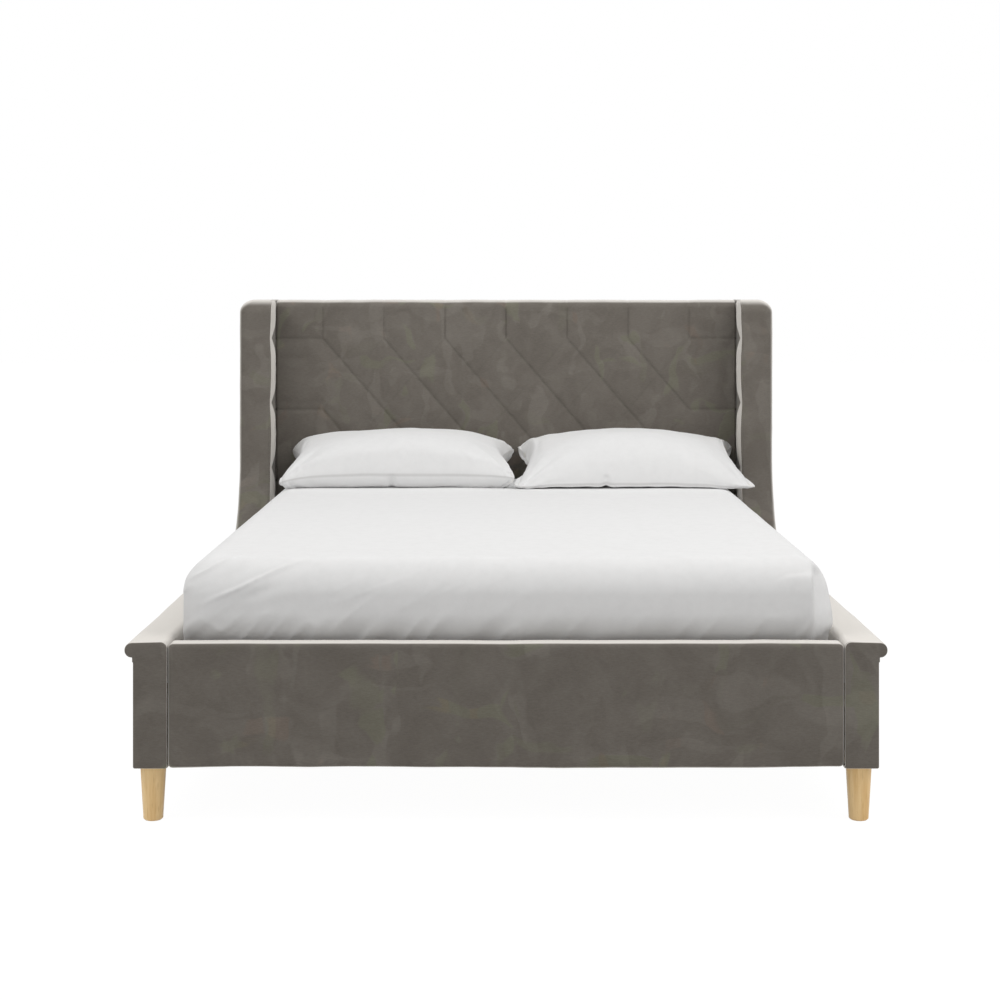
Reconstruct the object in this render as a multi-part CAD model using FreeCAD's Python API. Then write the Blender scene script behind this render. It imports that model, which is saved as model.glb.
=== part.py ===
"""Upholstered wingback sleigh bed, queen size, as separate sub-parts.

Millimetres. X runs across the bed, Y from the foot (-) to the head (+), Z up.
The origin is on the floor, midway between the sides and midway between foot and head.
Right-hand pieces are drawn at +X; left-hand pieces are their mirror images.
"""
import FreeCAD, Part
import math
import os

Vector = FreeCAD.Vector

# ---------------------------------------------------------------- driving dimensions
# Mattress, fitted sheet and pillows
mattress_width = 1524.0
mattress_length = 2032.0
mattress_thickness = 254.0
mattress_corner_radius = 70.0      # upright corners, seen from above
mattress_edge_radius = 38.0        # top and bottom borders
sheet_thickness = 1.5
sheet_tuck = 120.0                 # hem turned under the mattress
pillow_depth = 478.0
pillow_crown = 140.0               # height above the seam
pillow_belly = 40.0                # depth below the seam
pillow_edge = 14.0                 # thickness at the seam
pillow_gap = 4.0                   # between the two pillows
pillow_inset = 38.0                # left end of the pair, inside the mattress edge
pillow_overhang = 18.0             # right end of the pair, beyond the mattress edge
pillowcase_thickness = 1.0
soft_clearance = 0.3               # between soft pieces that lift off and what carries them

# Upholstery
cover_thickness = 5.0              # velvet over thin foam
foot_pad = 12.0                    # foam on the front of the footboard
head_pad = 45.0                    # tufted foam of the headboard
head_top_pad = 20.0                # the same foam turned over the top edge
wing_pad = 20.0                    # roll along the front and top of a wing
wing_side_pad = 18.0               # outer face of a wing
wing_quilt = 14.0                  # tufted panel on the inner face of a wing
upholstery_seam = 1.0              # open seam between neighbouring covers
panel_clearance = 7.0              # tufted panels stop this far above slats and rails

# Side rails
side_gap = 17.0                    # mattress to rail
rail_bottom = 127.0                # height of the legs
rail_height = 291.0
rail_thickness = 78.0
rail_board = 18.0                  # boards of the box rail
rail_cap = 30.0                    # top member of the box rail
rail_corner_radius = 15.0          # inner top edge, over the cover
rail_hem_radius = 3.0              # bottom edges, over the cover
nose_overhang = 19.5               # how far the rolled lip stands out
nose_height = 36.0
nose_radius = 17.0
bead_height = 11.0                 # small step under the rolled lip
bead_proud = 2.0
facing_thickness = 8.0             # flat panel on the foot end of a rail
end_block_front = 130.0
end_block_rear = 90.0

# Footboard
foot_thickness = 58.0
foot_top_drop = 4.0                # below the top of the rails
foot_bottom_rise = 2.0             # above the bottom of the rails
foot_edge_radius = 8.0
foot_corner_radius = 15.0          # top corners, seen from the front
foot_gap = 15.0                    # footboard to mattress

# Headboard
head_height = 1205.0
head_board = 12.0
head_frame = 38.0                  # thickness of the stiles and rails
head_back = 5.0
stile_width = 70.0
head_rail_width = 90.0
head_gap = 37.0                    # mattress to the face of the tufted pad
head_edge_radius = 14.0            # top front edge of the pad
head_back_edge_radius = 12.0
head_hem_radius = 4.0
tuft_pitch = 212.0                 # column spacing of the diamonds
tuft_row = 123.3                   # half the height of a diamond
tuft_first_row = 133.0             # first row below the top of the headboard
tuft_columns = 7
tuft_rows = 5
tuft_width = 28.0                  # from a seam to where the foam is full again
tuft_depth = 14.0

# Wings
wing_inset = 21.0                  # inner face of a wing, outside the rail's inner face
wing_thickness = 104.0
wing_depth = 149.0                 # in front of the tufted pad
wing_rise = 1.0                    # above the top of the headboard
wing_shoulder_radius = 30.0        # rounded toe where the sweep meets the rail
wing_sweep_radius = 330.0          # hollow curve of the front edge
wing_sweep_angle = 45.0
wing_top_radius = 45.0             # outer top edge, seen from the front
wing_front_radius = 18.0           # top of the front edge, seen from the side
wing_core_radius = 2.0             # the same edge on the core
wing_panel_inset = 2.0             # tufted panel behind the front edge and below the top
wing_member = 44.0                 # frame members of the core
wing_panel = 18.0                  # outer panel of the core
wing_window = 190.0                # tallest opening in the core
wing_tuft_row = 110.0
wing_tuft_first_row = 131.0        # first seam below the top of the wing
wing_tuft_width = 24.0
wing_tuft_depth = 10.0

# Legs
leg_top_radius = 30.0
leg_foot_radius = 22.5
leg_foot_chamfer = 3.0
leg_inset_front = 45.0             # axis of a front leg behind the foot plane
leg_inset_rear = 100.0             # axis of a rear leg ahead of the back

# Slats, ledgers and the centre beam
slat_top = 338.0
slat_thickness = 18.0
slat_width = 102.0
slat_count = 12
slat_end_margin = 20.0
slat_end_gap = 4.0                 # slat end to rail cover
slat_chamfer = 3.0
ledger_width = 35.0
ledger_height = 40.0
ledger_cover_gap = 2.0             # ledger to the hem of the rail cover
beam_width = 45.0
beam_height = 70.0
centre_leg_side = 44.0
hanger_plate = 3.0
hanger_flange = 30.0
hanger_seat = 40.0

# Levelling feet under the centre legs
leveller_travel = 10.0
leveller_pad_radius = 18.0
leveller_pad_height = 8.0
leveller_collar_radius = 9.0       # to the corners of the hexagon
leveller_collar_height = 6.0
leveller_stud_radius = 4.0
leveller_stud_length = 42.0
leveller_running_gap = 0.08

# Steel connectors
bracket_leg = 50.0
bracket_plate = 4.0
bracket_height = 100.0
hook_plate = 3.0
hook_plate_width = 30.0
hook_plate_height = 140.0
hook_width = 6.0
hook_neck = 16.0                   # height of a hook where it leaves its plate
hook_length = 10.0
hook_lip = 12.0
hook_spacing = 70.0
hook_gap = 0.5

# ---------------------------------------------------------------- derived positions
rail_inner = mattress_width / 2 + side_gap
rail_outer = rail_inner + rail_thickness
rail_centre = (rail_inner + rail_outer) / 2
rail_top = rail_bottom + rail_height
rail_core_inner = rail_inner + cover_thickness
rail_core_outer = rail_outer - cover_thickness
nose_outer = rail_outer + nose_overhang
nose_bottom = rail_top - nose_height
wing_inner = rail_inner + wing_inset
wing_outer = wing_inner + wing_thickness
wing_centre = (wing_inner + wing_outer) / 2
wing_top = head_height + wing_rise

overall_length = (foot_thickness + foot_gap + mattress_length + head_gap
                  + head_pad + head_board + head_frame + head_back)
foot_front = -overall_length / 2
foot_back = foot_front + foot_thickness
mattress_foot = foot_back + foot_gap
mattress_head = mattress_foot + mattress_length
pad_face = mattress_head + head_gap
pad_back = pad_face + head_pad
board_back = pad_back + head_board
frame_back = board_back + head_frame
head_end = frame_back + head_back

wing_front = pad_face - wing_depth
sweep_angle = math.radians(wing_sweep_angle)
sweep_reach = wing_sweep_radius + wing_shoulder_radius
sweep_centre_y = wing_front - wing_sweep_radius
sweep_centre_z = rail_top + sweep_reach * math.sin(sweep_angle)
shoulder_y = sweep_centre_y + sweep_reach * math.cos(sweep_angle)
wing_toe = shoulder_y - wing_shoulder_radius
rail_end = wing_toe + wing_pad

slat_bottom = slat_top - slat_thickness
ledger_inner = rail_core_inner - ledger_width
ledger_bottom = slat_bottom - ledger_height
beam_bottom = slat_bottom - beam_height
mattress_bottom = slat_top + soft_clearance + sheet_thickness
mattress_top = mattress_bottom + mattress_thickness
pillow_width = (mattress_width - pillow_inset + pillow_overhang - pillow_gap) / 2
head_pad_bottom = slat_top + panel_clearance
wing_panel_bottom = rail_top + panel_clearance
head_core_top = head_height - head_top_pad


# ---------------------------------------------------------------- shape helpers
def box(x0, x1, y0, y1, z0, z1):
    """Box between opposite corners."""
    return Part.makeBox(x1 - x0, y1 - y0, z1 - z0, Vector(x0, y0, z0))


def across(shape):
    """Mirror image on the other side of the bed."""
    return shape.mirror(Vector(0, 0, 0), Vector(1, 0, 0))


def rod(radius, start, direction, length):
    """Round bar from a start point along a direction."""
    return Part.makeCylinder(radius, length, start, direction)


def in_xz(y):
    """Places an outline point (across, up) on the upright plane at y."""
    return lambda u, v: Vector(u, y, v)


def in_yz(x):
    """Places an outline point (along, up) on the upright plane at x."""
    return lambda u, v: Vector(x, u, v)


def in_xy(z):
    """Places an outline point (across, along) on the level plane at z."""
    return lambda u, v: Vector(u, v, z)


def rounded_face(corners, place):
    """Flat face with straight sides; each corner is (u, v, radius), radius 0 for a sharp one."""
    edges = []
    starts = []
    ends = []
    middles = []
    count = len(corners)
    for i, (u, v, radius) in enumerate(corners):
        u0, v0, _ = corners[i - 1]
        u2, v2, _ = corners[(i + 1) % count]
        ax, ay = u0 - u, v0 - v
        bx, by = u2 - u, v2 - v
        la, lb = math.hypot(ax, ay), math.hypot(bx, by)
        ax, ay, bx, by = ax / la, ay / la, bx / lb, by / lb
        half = math.acos(max(-1.0, min(1.0, ax * bx + ay * by))) / 2
        back = radius / math.tan(half)
        starts.append((u + ax * back, v + ay * back))
        ends.append((u + bx * back, v + by * back))
        mx, my = ax + bx, ay + by
        lm = math.hypot(mx, my) or 1.0
        depth = radius / math.sin(half) - radius
        middles.append((u + mx / lm * depth, v + my / lm * depth))
    for i, (u, v, radius) in enumerate(corners):
        if radius > 0:
            arc = Part.Arc(place(*starts[i]), place(*middles[i]), place(*ends[i]))
            edges.append(arc.toShape())
        edges.append(Part.makeLine(place(*ends[i]), place(*starts[(i + 1) % count])))
    return Part.Face(Part.Wire(edges))


def slab_y(face, length):
    """Solid swept from a face towards the head."""
    return face.extrude(Vector(0, length, 0))


def slab_x(face, length):
    """Solid swept from a face towards the right."""
    return face.extrude(Vector(length, 0, 0))


def turned(profile, x, y):
    """Solid of revolution about an upright axis; profile is (radius, height) points."""
    points = [Vector(x + r, y, z) for r, z in profile]
    wire = Part.makePolygon(points + [points[0]])
    return Part.Face(wire).revolve(Vector(x, y, 0), Vector(0, 0, 1), 360)


def between(points, place, run):
    """Solid swept along run from a flat face with straight sides."""
    corners = [place(u, v) for u, v in points]
    return Part.Face(Part.makePolygon(corners + corners[:1])).extrude(run)


# ---------------------------------------------------------------- side rails
def rail_outline(y):
    """Section of the covered rail: box, bead and rolled lip."""
    bead_bottom = nose_bottom - bead_height
    bead_outer = rail_outer + bead_proud
    corners = [
        (rail_inner, rail_bottom, rail_hem_radius),
        (rail_outer, rail_bottom, rail_hem_radius),
        (rail_outer, bead_bottom, 0),
        (bead_outer, bead_bottom, 0),
        (bead_outer, nose_bottom, 0),
        (nose_outer, nose_bottom, nose_radius),
        (nose_outer, rail_top, nose_radius),
        (rail_inner, rail_top, rail_corner_radius),
    ]
    return rounded_face(corners, in_xz(y))


def rail_core_outline(y):
    """Section of the timber inside the cover, with its nosing strip."""
    lip = nose_radius - cover_thickness
    corners = [
        (rail_core_inner, rail_bottom + cover_thickness, 0),
        (rail_core_outer, rail_bottom + cover_thickness, 0),
        (rail_core_outer, nose_bottom + cover_thickness, 0),
        (nose_outer - cover_thickness, nose_bottom + cover_thickness, lip),
        (nose_outer - cover_thickness, rail_top - cover_thickness, lip),
        (rail_core_inner, rail_top - cover_thickness, rail_corner_radius - cover_thickness),
    ]
    return rounded_face(corners, in_xz(y))


def hook_heights():
    """Heights of the two hooks at a rail's head end."""
    middle = (rail_bottom + rail_top) / 2
    return [middle - hook_spacing / 2, middle + hook_spacing / 2]


def bracket_middle():
    """Middle height of a corner bracket, halfway between rail bottom and ledger."""
    return (rail_bottom + cover_thickness + ledger_bottom) / 2


def side_rail_core():
    """Box rail of boards with solid end blocks, open underneath."""
    start = foot_front + facing_thickness
    whole = slab_y(rail_core_outline(start), rail_end - start)
    lip_cut = box(rail_core_outer, nose_outer, start - 1, rail_end + 1, rail_bottom, rail_top)
    core = whole.cut(lip_cut)
    cavity = box(rail_core_inner + rail_board, rail_core_outer - rail_board,
                 start + end_block_front, rail_end - end_block_rear,
                 rail_bottom, rail_top - cover_thickness - rail_cap)
    hook_recess = box(wing_hook_x() - hook_plate_width / 2, wing_hook_x() + hook_plate_width / 2,
                      rail_end - hook_plate, rail_end + 1,
                      hook_plate_bottom(), hook_plate_bottom() + hook_plate_height)
    return core.cut([cavity, hook_recess])


def rail_nosing():
    """Half-round strip glued along the top of the rail: the core of the rolled lip."""
    start = foot_front + facing_thickness
    whole = slab_y(rail_core_outline(start), rail_end - start)
    lip = box(rail_core_outer, nose_outer, start - 1, rail_end + 1, rail_bottom, rail_top)
    return whole.common(lip)


def rail_cover():
    """Velvet and foam wrapped over the rail and stapled inside, above the ledger."""
    start = foot_front + facing_thickness
    length = rail_end - start
    skin = slab_y(rail_outline(start), length).cut(slab_y(rail_core_outline(start), length))
    open_side = box(rail_inner - 1, rail_core_inner, start - 1, rail_end + 1,
                    rail_bottom - 1, slat_bottom + ledger_cover_gap)
    return skin.cut(open_side)


def rail_facing():
    """Flat wrapped panel that closes the foot end of the rail."""
    return slab_y(rail_outline(foot_front), facing_thickness)


def slat_ledger():
    """Batten on the inside of the rail that carries the slat ends."""
    return box(ledger_inner, rail_core_inner, foot_back, pad_back, ledger_bottom, slat_bottom)


# ---------------------------------------------------------------- steel connectors
def wing_hook_x():
    """Where the rail core and the wing core overlap, seen along the bed."""
    return (wing_inner + rail_core_outer) / 2


def hook_plate_bottom():
    """Lower end of the hook plate, centred on the rail."""
    return (rail_bottom + rail_top - hook_plate_height) / 2


def rail_hook_plate():
    """Steel plate let into the rail end, with two hooks that point at the wing."""
    x = wing_hook_x()
    z = hook_plate_bottom()
    plate = box(x - hook_plate_width / 2, x + hook_plate_width / 2,
                rail_end - hook_plate, rail_end, z, z + hook_plate_height)
    for height in hook_heights():
        tip = rail_end + hook_plate + hook_gap
        neck = box(x - hook_width / 2, x + hook_width / 2, rail_end, tip,
                   height - hook_neck / 2, height + hook_neck / 2)
        lip = box(x - hook_width / 2, x + hook_width / 2, tip, tip + hook_length,
                  height - hook_neck / 2 - hook_lip, height + hook_neck / 2)
        plate = plate.fuse([neck, lip])
    return plate.removeSplitter()


def hook_slot(height, depth_start, depth_end, slack):
    """Space that a hook needs: the hook's outline plus slack all round."""
    x = wing_hook_x()
    return box(x - hook_width / 2 - slack, x + hook_width / 2 + slack, depth_start, depth_end,
               height - hook_neck / 2 - hook_lip - slack, height + hook_neck / 2 + hook_lip)


def receiver_plate():
    """Slotted steel plate let into the wing core; the rail's hooks drop into its slots."""
    x = wing_hook_x()
    z = hook_plate_bottom()
    plate = box(x - hook_plate_width / 2, x + hook_plate_width / 2,
                rail_end, rail_end + hook_plate, z, z + hook_plate_height)
    slots = []
    for height in hook_heights():
        slots.append(box(x - hook_width / 2 - hook_gap, x + hook_width / 2 + hook_gap,
                         rail_end - 1, rail_end + hook_plate + 1,
                         height - hook_neck / 2, height + hook_neck / 2 + hook_lip))
    return plate.cut(slots)


def corner_bracket():
    """Steel angle that joins the rail to the footboard, inside the corner."""
    z0 = bracket_middle() - bracket_height / 2
    z1 = z0 + bracket_height
    corner = rail_core_inner
    outline = [
        (corner, foot_back, 0),
        (corner, foot_back + bracket_leg, 0),
        (corner - bracket_plate, foot_back + bracket_leg, 0),
        (corner - bracket_plate, foot_back + bracket_plate, bracket_plate / 2),
        (corner - bracket_leg, foot_back + bracket_plate, 0),
        (corner - bracket_leg, foot_back, 0),
    ]
    return rounded_face(outline, in_xy(z0)).extrude(Vector(0, 0, z1 - z0))


# ---------------------------------------------------------------- footboard
def foot_section(inset_front, inset_rest, radius):
    """Upright section of the footboard along the bed, inset from its covered outline."""
    top = rail_top - foot_top_drop - inset_rest
    bottom = rail_bottom + foot_bottom_rise + inset_rest
    front = foot_front + inset_front
    back = foot_back - inset_rest
    return [(front, bottom, radius), (back, bottom, radius),
            (back, top, radius), (front, top, radius)]


def foot_panel(inset_front, inset_rest, edge_radius):
    """Footboard outline from the side crossed with its outline from the front."""
    half = rail_inner - upholstery_seam - inset_rest
    section = foot_section(inset_front, inset_rest, edge_radius)
    panel = slab_x(rounded_face(section, in_yz(-half)), 2 * half)
    bottom, top = section[0][1], section[2][1]
    corner = foot_corner_radius - inset_rest
    outline = [(-half, bottom, 0), (half, bottom, 0), (half, top, corner), (-half, top, corner)]
    return panel.common(slab_y(rounded_face(outline, in_xz(foot_front)), foot_thickness))


def footboard_core():
    """Laminated panel inside the footboard."""
    return foot_panel(foot_pad, cover_thickness, 0)


def footboard_cover():
    """Padded velvet sleeve round the footboard panel."""
    return foot_panel(0, 0, foot_edge_radius).cut(footboard_core())


# ---------------------------------------------------------------- headboard
def headboard_stile():
    """Upright of the headboard frame; the wing stands against its outer edge."""
    return box(wing_inner - stile_width, wing_inner, board_back, frame_back,
               rail_bottom, head_core_top)


def headboard_rail(z0):
    """Cross member of the headboard frame."""
    half = wing_inner - stile_width
    return box(-half, half, board_back, frame_back, z0, z0 + head_rail_width)


def headboard_face_board():
    """Plywood sheet that carries the tufted pad."""
    return box(-wing_inner, wing_inner, pad_back, board_back, rail_bottom, head_core_top)


def headboard_back_panel():
    """Velvet-covered sheet that closes the back."""
    top = head_core_top
    return box(-wing_inner, wing_inner, frame_back, head_end, rail_bottom, top)


def cushion_groove(half_width, depth, start, end, inward):
    """Cutter for a sewn seam: two arcs that roll down into a cusp, from start to end."""
    run = end.sub(start)
    side = inward.cross(run).normalize()
    radius = (half_width ** 2 + depth ** 2) / (2 * depth)
    half_turn = math.asin(half_width / radius) / 2
    rise = radius - radius * math.cos(half_turn)
    reach = half_width - radius * math.sin(half_turn)

    def at(across_seam, deep):
        return start + side * across_seam + inward * deep

    edges = [
        Part.makeLine(at(half_width, -1), at(-half_width, -1)),
        Part.makeLine(at(-half_width, -1), at(-half_width, 0)),
        Part.Arc(at(-half_width, 0), at(-reach, rise), at(0, depth)).toShape(),
        Part.Arc(at(0, depth), at(reach, rise), at(half_width, 0)).toShape(),
        Part.makeLine(at(half_width, 0), at(half_width, -1)),
    ]
    return Part.Face(Part.Wire(edges)).extrude(run)


def head_seams():
    """Seam lines of the headboard as pairs of (x, z) points."""
    top = head_height - tuft_first_row
    half_columns = (tuft_columns - 1) / 2
    edge = half_columns * tuft_pitch
    last = wing_inner
    seams = []
    for i in range(tuft_columns):
        x = (i - half_columns) * tuft_pitch
        seams.append(((x, top), (x, head_height + tuft_width)))
    for row in range(0, tuft_rows, 2):
        z = top - row * tuft_row
        seams.append(((edge, z), (last, z)))
        seams.append(((-last, z), (-edge, z)))
    slope = tuft_row / (tuft_pitch / 2)
    bottom = max(head_pad_bottom, top - tuft_rows * tuft_row)
    starts = [((i - half_columns) * tuft_pitch, top) for i in range(tuft_columns - 1)]
    starts += [(-edge, top - row * tuft_row) for row in range(2, tuft_rows, 2)]
    for x, z in starts:
        fall = min(z - bottom, (edge - x) * slope)
        run = fall / slope
        seams.append(((x, z), (x + run, z - fall)))
        seams.append(((-x, z), (-x - run, z - fall)))
    return seams


def headboard_tufted_pad():
    """Diamond-tufted foam and velvet: a front slab turned over the top of the frame."""
    half = wing_inner - upholstery_seam
    corners = [
        (pad_face, head_pad_bottom, head_hem_radius),
        (pad_back, head_pad_bottom, 0),
        (pad_back, head_core_top, 0),
        (head_end, head_core_top, 0),
        (head_end, head_height, head_back_edge_radius),
        (pad_face, head_height, head_edge_radius),
    ]
    pad = slab_x(rounded_face(corners, in_yz(-half)), 2 * half)
    cutters = []
    for (x0, z0), (x1, z1) in head_seams():
        start = Vector(x0, pad_face, z0)
        end = Vector(x1, pad_face, z1)
        cutters.append(cushion_groove(tuft_width, tuft_depth, start, end, Vector(0, 1, 0)))
    return pad.cut(cutters)


# ---------------------------------------------------------------- wings
def wing_outline(x, front, top, bottom, back):
    """Side view of a wing, inset at its four edges: straight front, sweep and toe."""
    ca, sa = math.cos(sweep_angle), math.sin(sweep_angle)
    ch, sh = math.cos(sweep_angle / 2), math.sin(sweep_angle / 2)
    sweep = wing_sweep_radius + front
    toe = wing_shoulder_radius - front
    low = rail_bottom + bottom
    high = wing_top - top
    rear = head_end - back
    face = wing_front + front
    nose = max(wing_core_radius, wing_front_radius - front)
    quarter = nose * (1 - math.sqrt(0.5))
    place = in_yz(x)
    toe_end = (shoulder_y - toe, rail_top)
    toe_mid = (shoulder_y - toe * ch, rail_top + toe * sh)
    joint = (sweep_centre_y + sweep * ca, sweep_centre_z - sweep * sa)
    sweep_mid = (sweep_centre_y + sweep * ch, sweep_centre_z - sweep * sh)
    sweep_end = (face, sweep_centre_z)
    edges = [
        Part.makeLine(place(rear, low), place(toe_end[0], low)),
        Part.makeLine(place(toe_end[0], low), place(*toe_end)),
        Part.Arc(place(*toe_end), place(*toe_mid), place(*joint)).toShape(),
        Part.Arc(place(*joint), place(*sweep_mid), place(*sweep_end)).toShape(),
        Part.makeLine(place(*sweep_end), place(face, high - nose)),
        Part.Arc(place(face, high - nose), place(face + quarter, high - quarter),
                 place(face + nose, high)).toShape(),
        Part.makeLine(place(face + nose, high), place(rear, high)),
        Part.makeLine(place(rear, high), place(rear, low)),
    ]
    return Part.Face(Part.Wire(edges))


def wing_front_view(inset, x0):
    """Front view of a wing, with the rounded outer top edge."""
    outer = wing_outer - (wing_side_pad if inset else 0)
    top = wing_top - inset
    corners = [
        (x0, rail_bottom, 0),
        (outer, rail_bottom, 0),
        (outer, top, wing_top_radius - inset),
        (x0, top, 0),
    ]
    y0 = wing_toe - 1
    return slab_y(rounded_face(corners, in_xz(y0)), head_end - y0 + 1)


def wing_body(front, rest, inset):
    """Solid wing: the side view and the front view together."""
    side = slab_x(wing_outline(wing_inner, front, inset, rest, rest), wing_thickness)
    return side.common(wing_front_view(inset, wing_inner))


def wing_windows():
    """Openings between the frame members of a wing core, behind the tufted panel."""
    y0 = wing_front + wing_pad + wing_member
    y1 = head_end - cover_thickness - wing_member
    low = wing_panel_bottom + wing_member
    high = wing_top - wing_pad - wing_member
    count = math.ceil((high - low + wing_member) / (wing_window + wing_member))
    height = (high - low - (count - 1) * wing_member) / count
    depth = wing_thickness - wing_side_pad - wing_panel
    windows = []
    for i in range(count):
        z0 = low + i * (height + wing_member)
        windows.append(box(wing_inner - 1, wing_inner + depth, y0, y1, z0, z0 + height))
    return windows


def wing_core():
    """Timber frame of the wing glued to an outer panel, with a sloping front member."""
    core = wing_body(wing_pad, cover_thickness, wing_pad)
    x = wing_hook_x()
    z = hook_plate_bottom()
    recess = box(x - hook_plate_width / 2, x + hook_plate_width / 2,
                 rail_end - 1, rail_end + hook_plate, z, z + hook_plate_height)
    pockets = [hook_slot(height, rail_end - 1, rail_end + hook_plate + hook_gap
                         + hook_length + hook_gap, hook_gap) for height in hook_heights()]
    return core.cut(wing_windows() + [recess] + pockets)


def wing_cover():
    """Velvet and foam over the front, top, outside and back of the wing."""
    outer = wing_body(0, 0, 0)
    core = wing_body(wing_pad, cover_thickness, wing_pad)
    rail_space = rail_outline(wing_toe - 1).makeOffset2D(upholstery_seam)
    rail_cut = slab_y(rail_space, wing_pad + 1)
    return outer.cut([core, rail_cut])


def wing_seams():
    """Seam lines of a wing's inner panel as pairs of (y, z) points."""
    y0, y1 = wing_front, wing_front + wing_depth
    fall = 2 * wing_tuft_row
    first = wing_top - wing_tuft_first_row
    seams = []
    z = first + fall
    while z > rail_top + wing_shoulder_radius:
        seams.append(((y0, z), (y1, z - fall)))
        seams.append(((y0, z - fall), (y1, z)))
        z -= fall
    return seams


def wing_tufted_pad():
    """Diamond-tufted panel on the inner face of a wing, above the rail."""
    outline = wing_outline(wing_inner - wing_quilt, wing_panel_inset, wing_panel_inset, 0, 0)
    panel = slab_x(outline, wing_quilt)
    rest = box(0, wing_outer, wing_toe - 1, pad_face - upholstery_seam / 2,
               wing_panel_bottom, wing_top)
    panel = panel.common(rest)
    face = wing_inner - wing_quilt
    cutters = []
    for (y0, z0), (y1, z1) in wing_seams():
        start = Vector(face, y0, z0)
        end = Vector(face, y1, z1)
        cutters.append(cushion_groove(wing_tuft_width, wing_tuft_depth, start, end,
                                      Vector(1, 0, 0)))
    return panel.cut(cutters)


# ---------------------------------------------------------------- legs
def leg(x, y):
    """Turned tapered leg with a chamfered foot."""
    slope = (leg_top_radius - leg_foot_radius) / rail_bottom
    profile = [
        (0, 0),
        (leg_foot_radius - leg_foot_chamfer, 0),
        (leg_foot_radius + slope * leg_foot_chamfer, leg_foot_chamfer),
        (leg_top_radius, rail_bottom),
        (0, rail_bottom),
    ]
    return turned(profile, x, y)


# ---------------------------------------------------------------- slats and centre support
def slat_centres():
    """Places of the slats along the bed, evenly spaced."""
    first = foot_back + slat_end_margin + slat_width / 2
    last = pad_back - slat_end_margin - slat_width / 2
    step = (last - first) / (slat_count - 1)
    return [first + step * i for i in range(slat_count)]


def slat(y):
    """Flat slat with chamfered long edges."""
    half = rail_inner - slat_end_gap
    y0, y1 = y - slat_width / 2, y + slat_width / 2
    z0, z1, c = slat_bottom, slat_top, slat_chamfer
    outline = [(y0 + c, z0), (y1 - c, z0), (y1, z0 + c), (y1, z1 - c),
               (y1 - c, z1), (y0 + c, z1), (y0, z1 - c), (y0, z0 + c)]
    return between(outline, in_yz(-half), Vector(2 * half, 0, 0))


def centre_beam():
    """Beam under the middle of the slats, from footboard to headboard."""
    return box(-beam_width / 2, beam_width / 2, foot_back + hanger_plate,
               pad_back - hanger_plate, beam_bottom, slat_bottom)


def beam_hanger(plane, towards):
    """Folded steel stirrup that holds an end of the beam; towards is +1 or -1 along Y."""
    reach = plane + towards * hanger_seat
    back = plane + towards * hanger_plate
    half = beam_width / 2
    wide = half + hanger_plate
    low = beam_bottom - hanger_plate
    y0, y1 = min(plane, back), max(plane, back)
    s0, s1 = min(plane, reach), max(plane, reach)
    wall = box(-half - hanger_flange, half + hanger_flange, y0, y1, low, slat_bottom)
    stirrup = box(-wide, wide, s0, s1, low, slat_bottom)
    b0, b1 = min(back, reach + towards), max(back, reach + towards)
    seat = box(-half, half, b0, b1, beam_bottom, slat_bottom + 1)
    return wall.fuse(stirrup).cut(seat).removeSplitter()


def centre_leg_places():
    """The two centre legs stand at the thirds of the beam."""
    span = pad_back - foot_back
    return [foot_back + span / 3, foot_back + 2 * span / 3]


def centre_leg_bottom():
    """Lower end of a centre leg, clear of the foot at full travel."""
    return (leveller_pad_height + leveller_collar_height + leveller_travel
            + soft_clearance)


def centre_leg(y):
    """Square timber leg with a bore for its levelling foot."""
    half = centre_leg_side / 2
    low = centre_leg_bottom()
    post = box(-half, half, y - half, y + half, low, beam_bottom)
    depth = leveller_stud_top() + leveller_travel + 1.0 - low
    bore = rod(leveller_stud_radius + leveller_running_gap, Vector(0, y, low),
               Vector(0, 0, 1), depth)
    return post.cut(bore)


def leveller_stud_top():
    """Upper end of a levelling foot's stud."""
    return leveller_pad_height + leveller_collar_height + leveller_stud_length


def levelling_foot(y):
    """Screw foot: round pad, hexagonal collar and stud."""
    up = Vector(0, 0, 1)
    collar_bottom = leveller_pad_height
    collar_top = collar_bottom + leveller_collar_height
    pad = rod(leveller_pad_radius, Vector(0, y, 0), up, collar_bottom)
    stud = rod(leveller_stud_radius, Vector(0, y, collar_top), up,
               leveller_stud_top() - collar_top)
    turns = [math.radians(60 * i) for i in range(6)]
    hexagon = [(leveller_collar_radius * math.cos(a), y + leveller_collar_radius * math.sin(a))
               for a in turns]
    collar = between(hexagon, in_xy(collar_bottom), up * leveller_collar_height)
    return pad.fuse([collar, stud])


# ---------------------------------------------------------------- bedding
def rounded_rectangle(u0, u1, v0, v1, radius, place):
    """Flat rectangle with four equal rounded corners."""
    corners = [(u0, v0, radius), (u1, v0, radius), (u1, v1, radius), (u0, v1, radius)]
    return rounded_face(corners, place)


def soft_box(half_x, y0, y1, z0, z1, corner, edge):
    """Box with rounded upright corners and rounded borders: three outlines crossed."""
    plan = rounded_rectangle(-half_x, half_x, y0, y1, corner, in_xy(z0))
    front = rounded_rectangle(-half_x, half_x, z0, z1, edge, in_xz(y0))
    side = rounded_rectangle(y0, y1, z0, z1, edge, in_yz(-half_x))
    block = plan.extrude(Vector(0, 0, z1 - z0)).common(slab_y(front, y1 - y0))
    return block.common(slab_x(side, 2 * half_x))


def mattress():
    """Sprung mattress as one soft block."""
    return soft_box(mattress_width / 2, mattress_foot, mattress_head,
                    mattress_bottom, mattress_top,
                    mattress_corner_radius, mattress_edge_radius)


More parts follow.
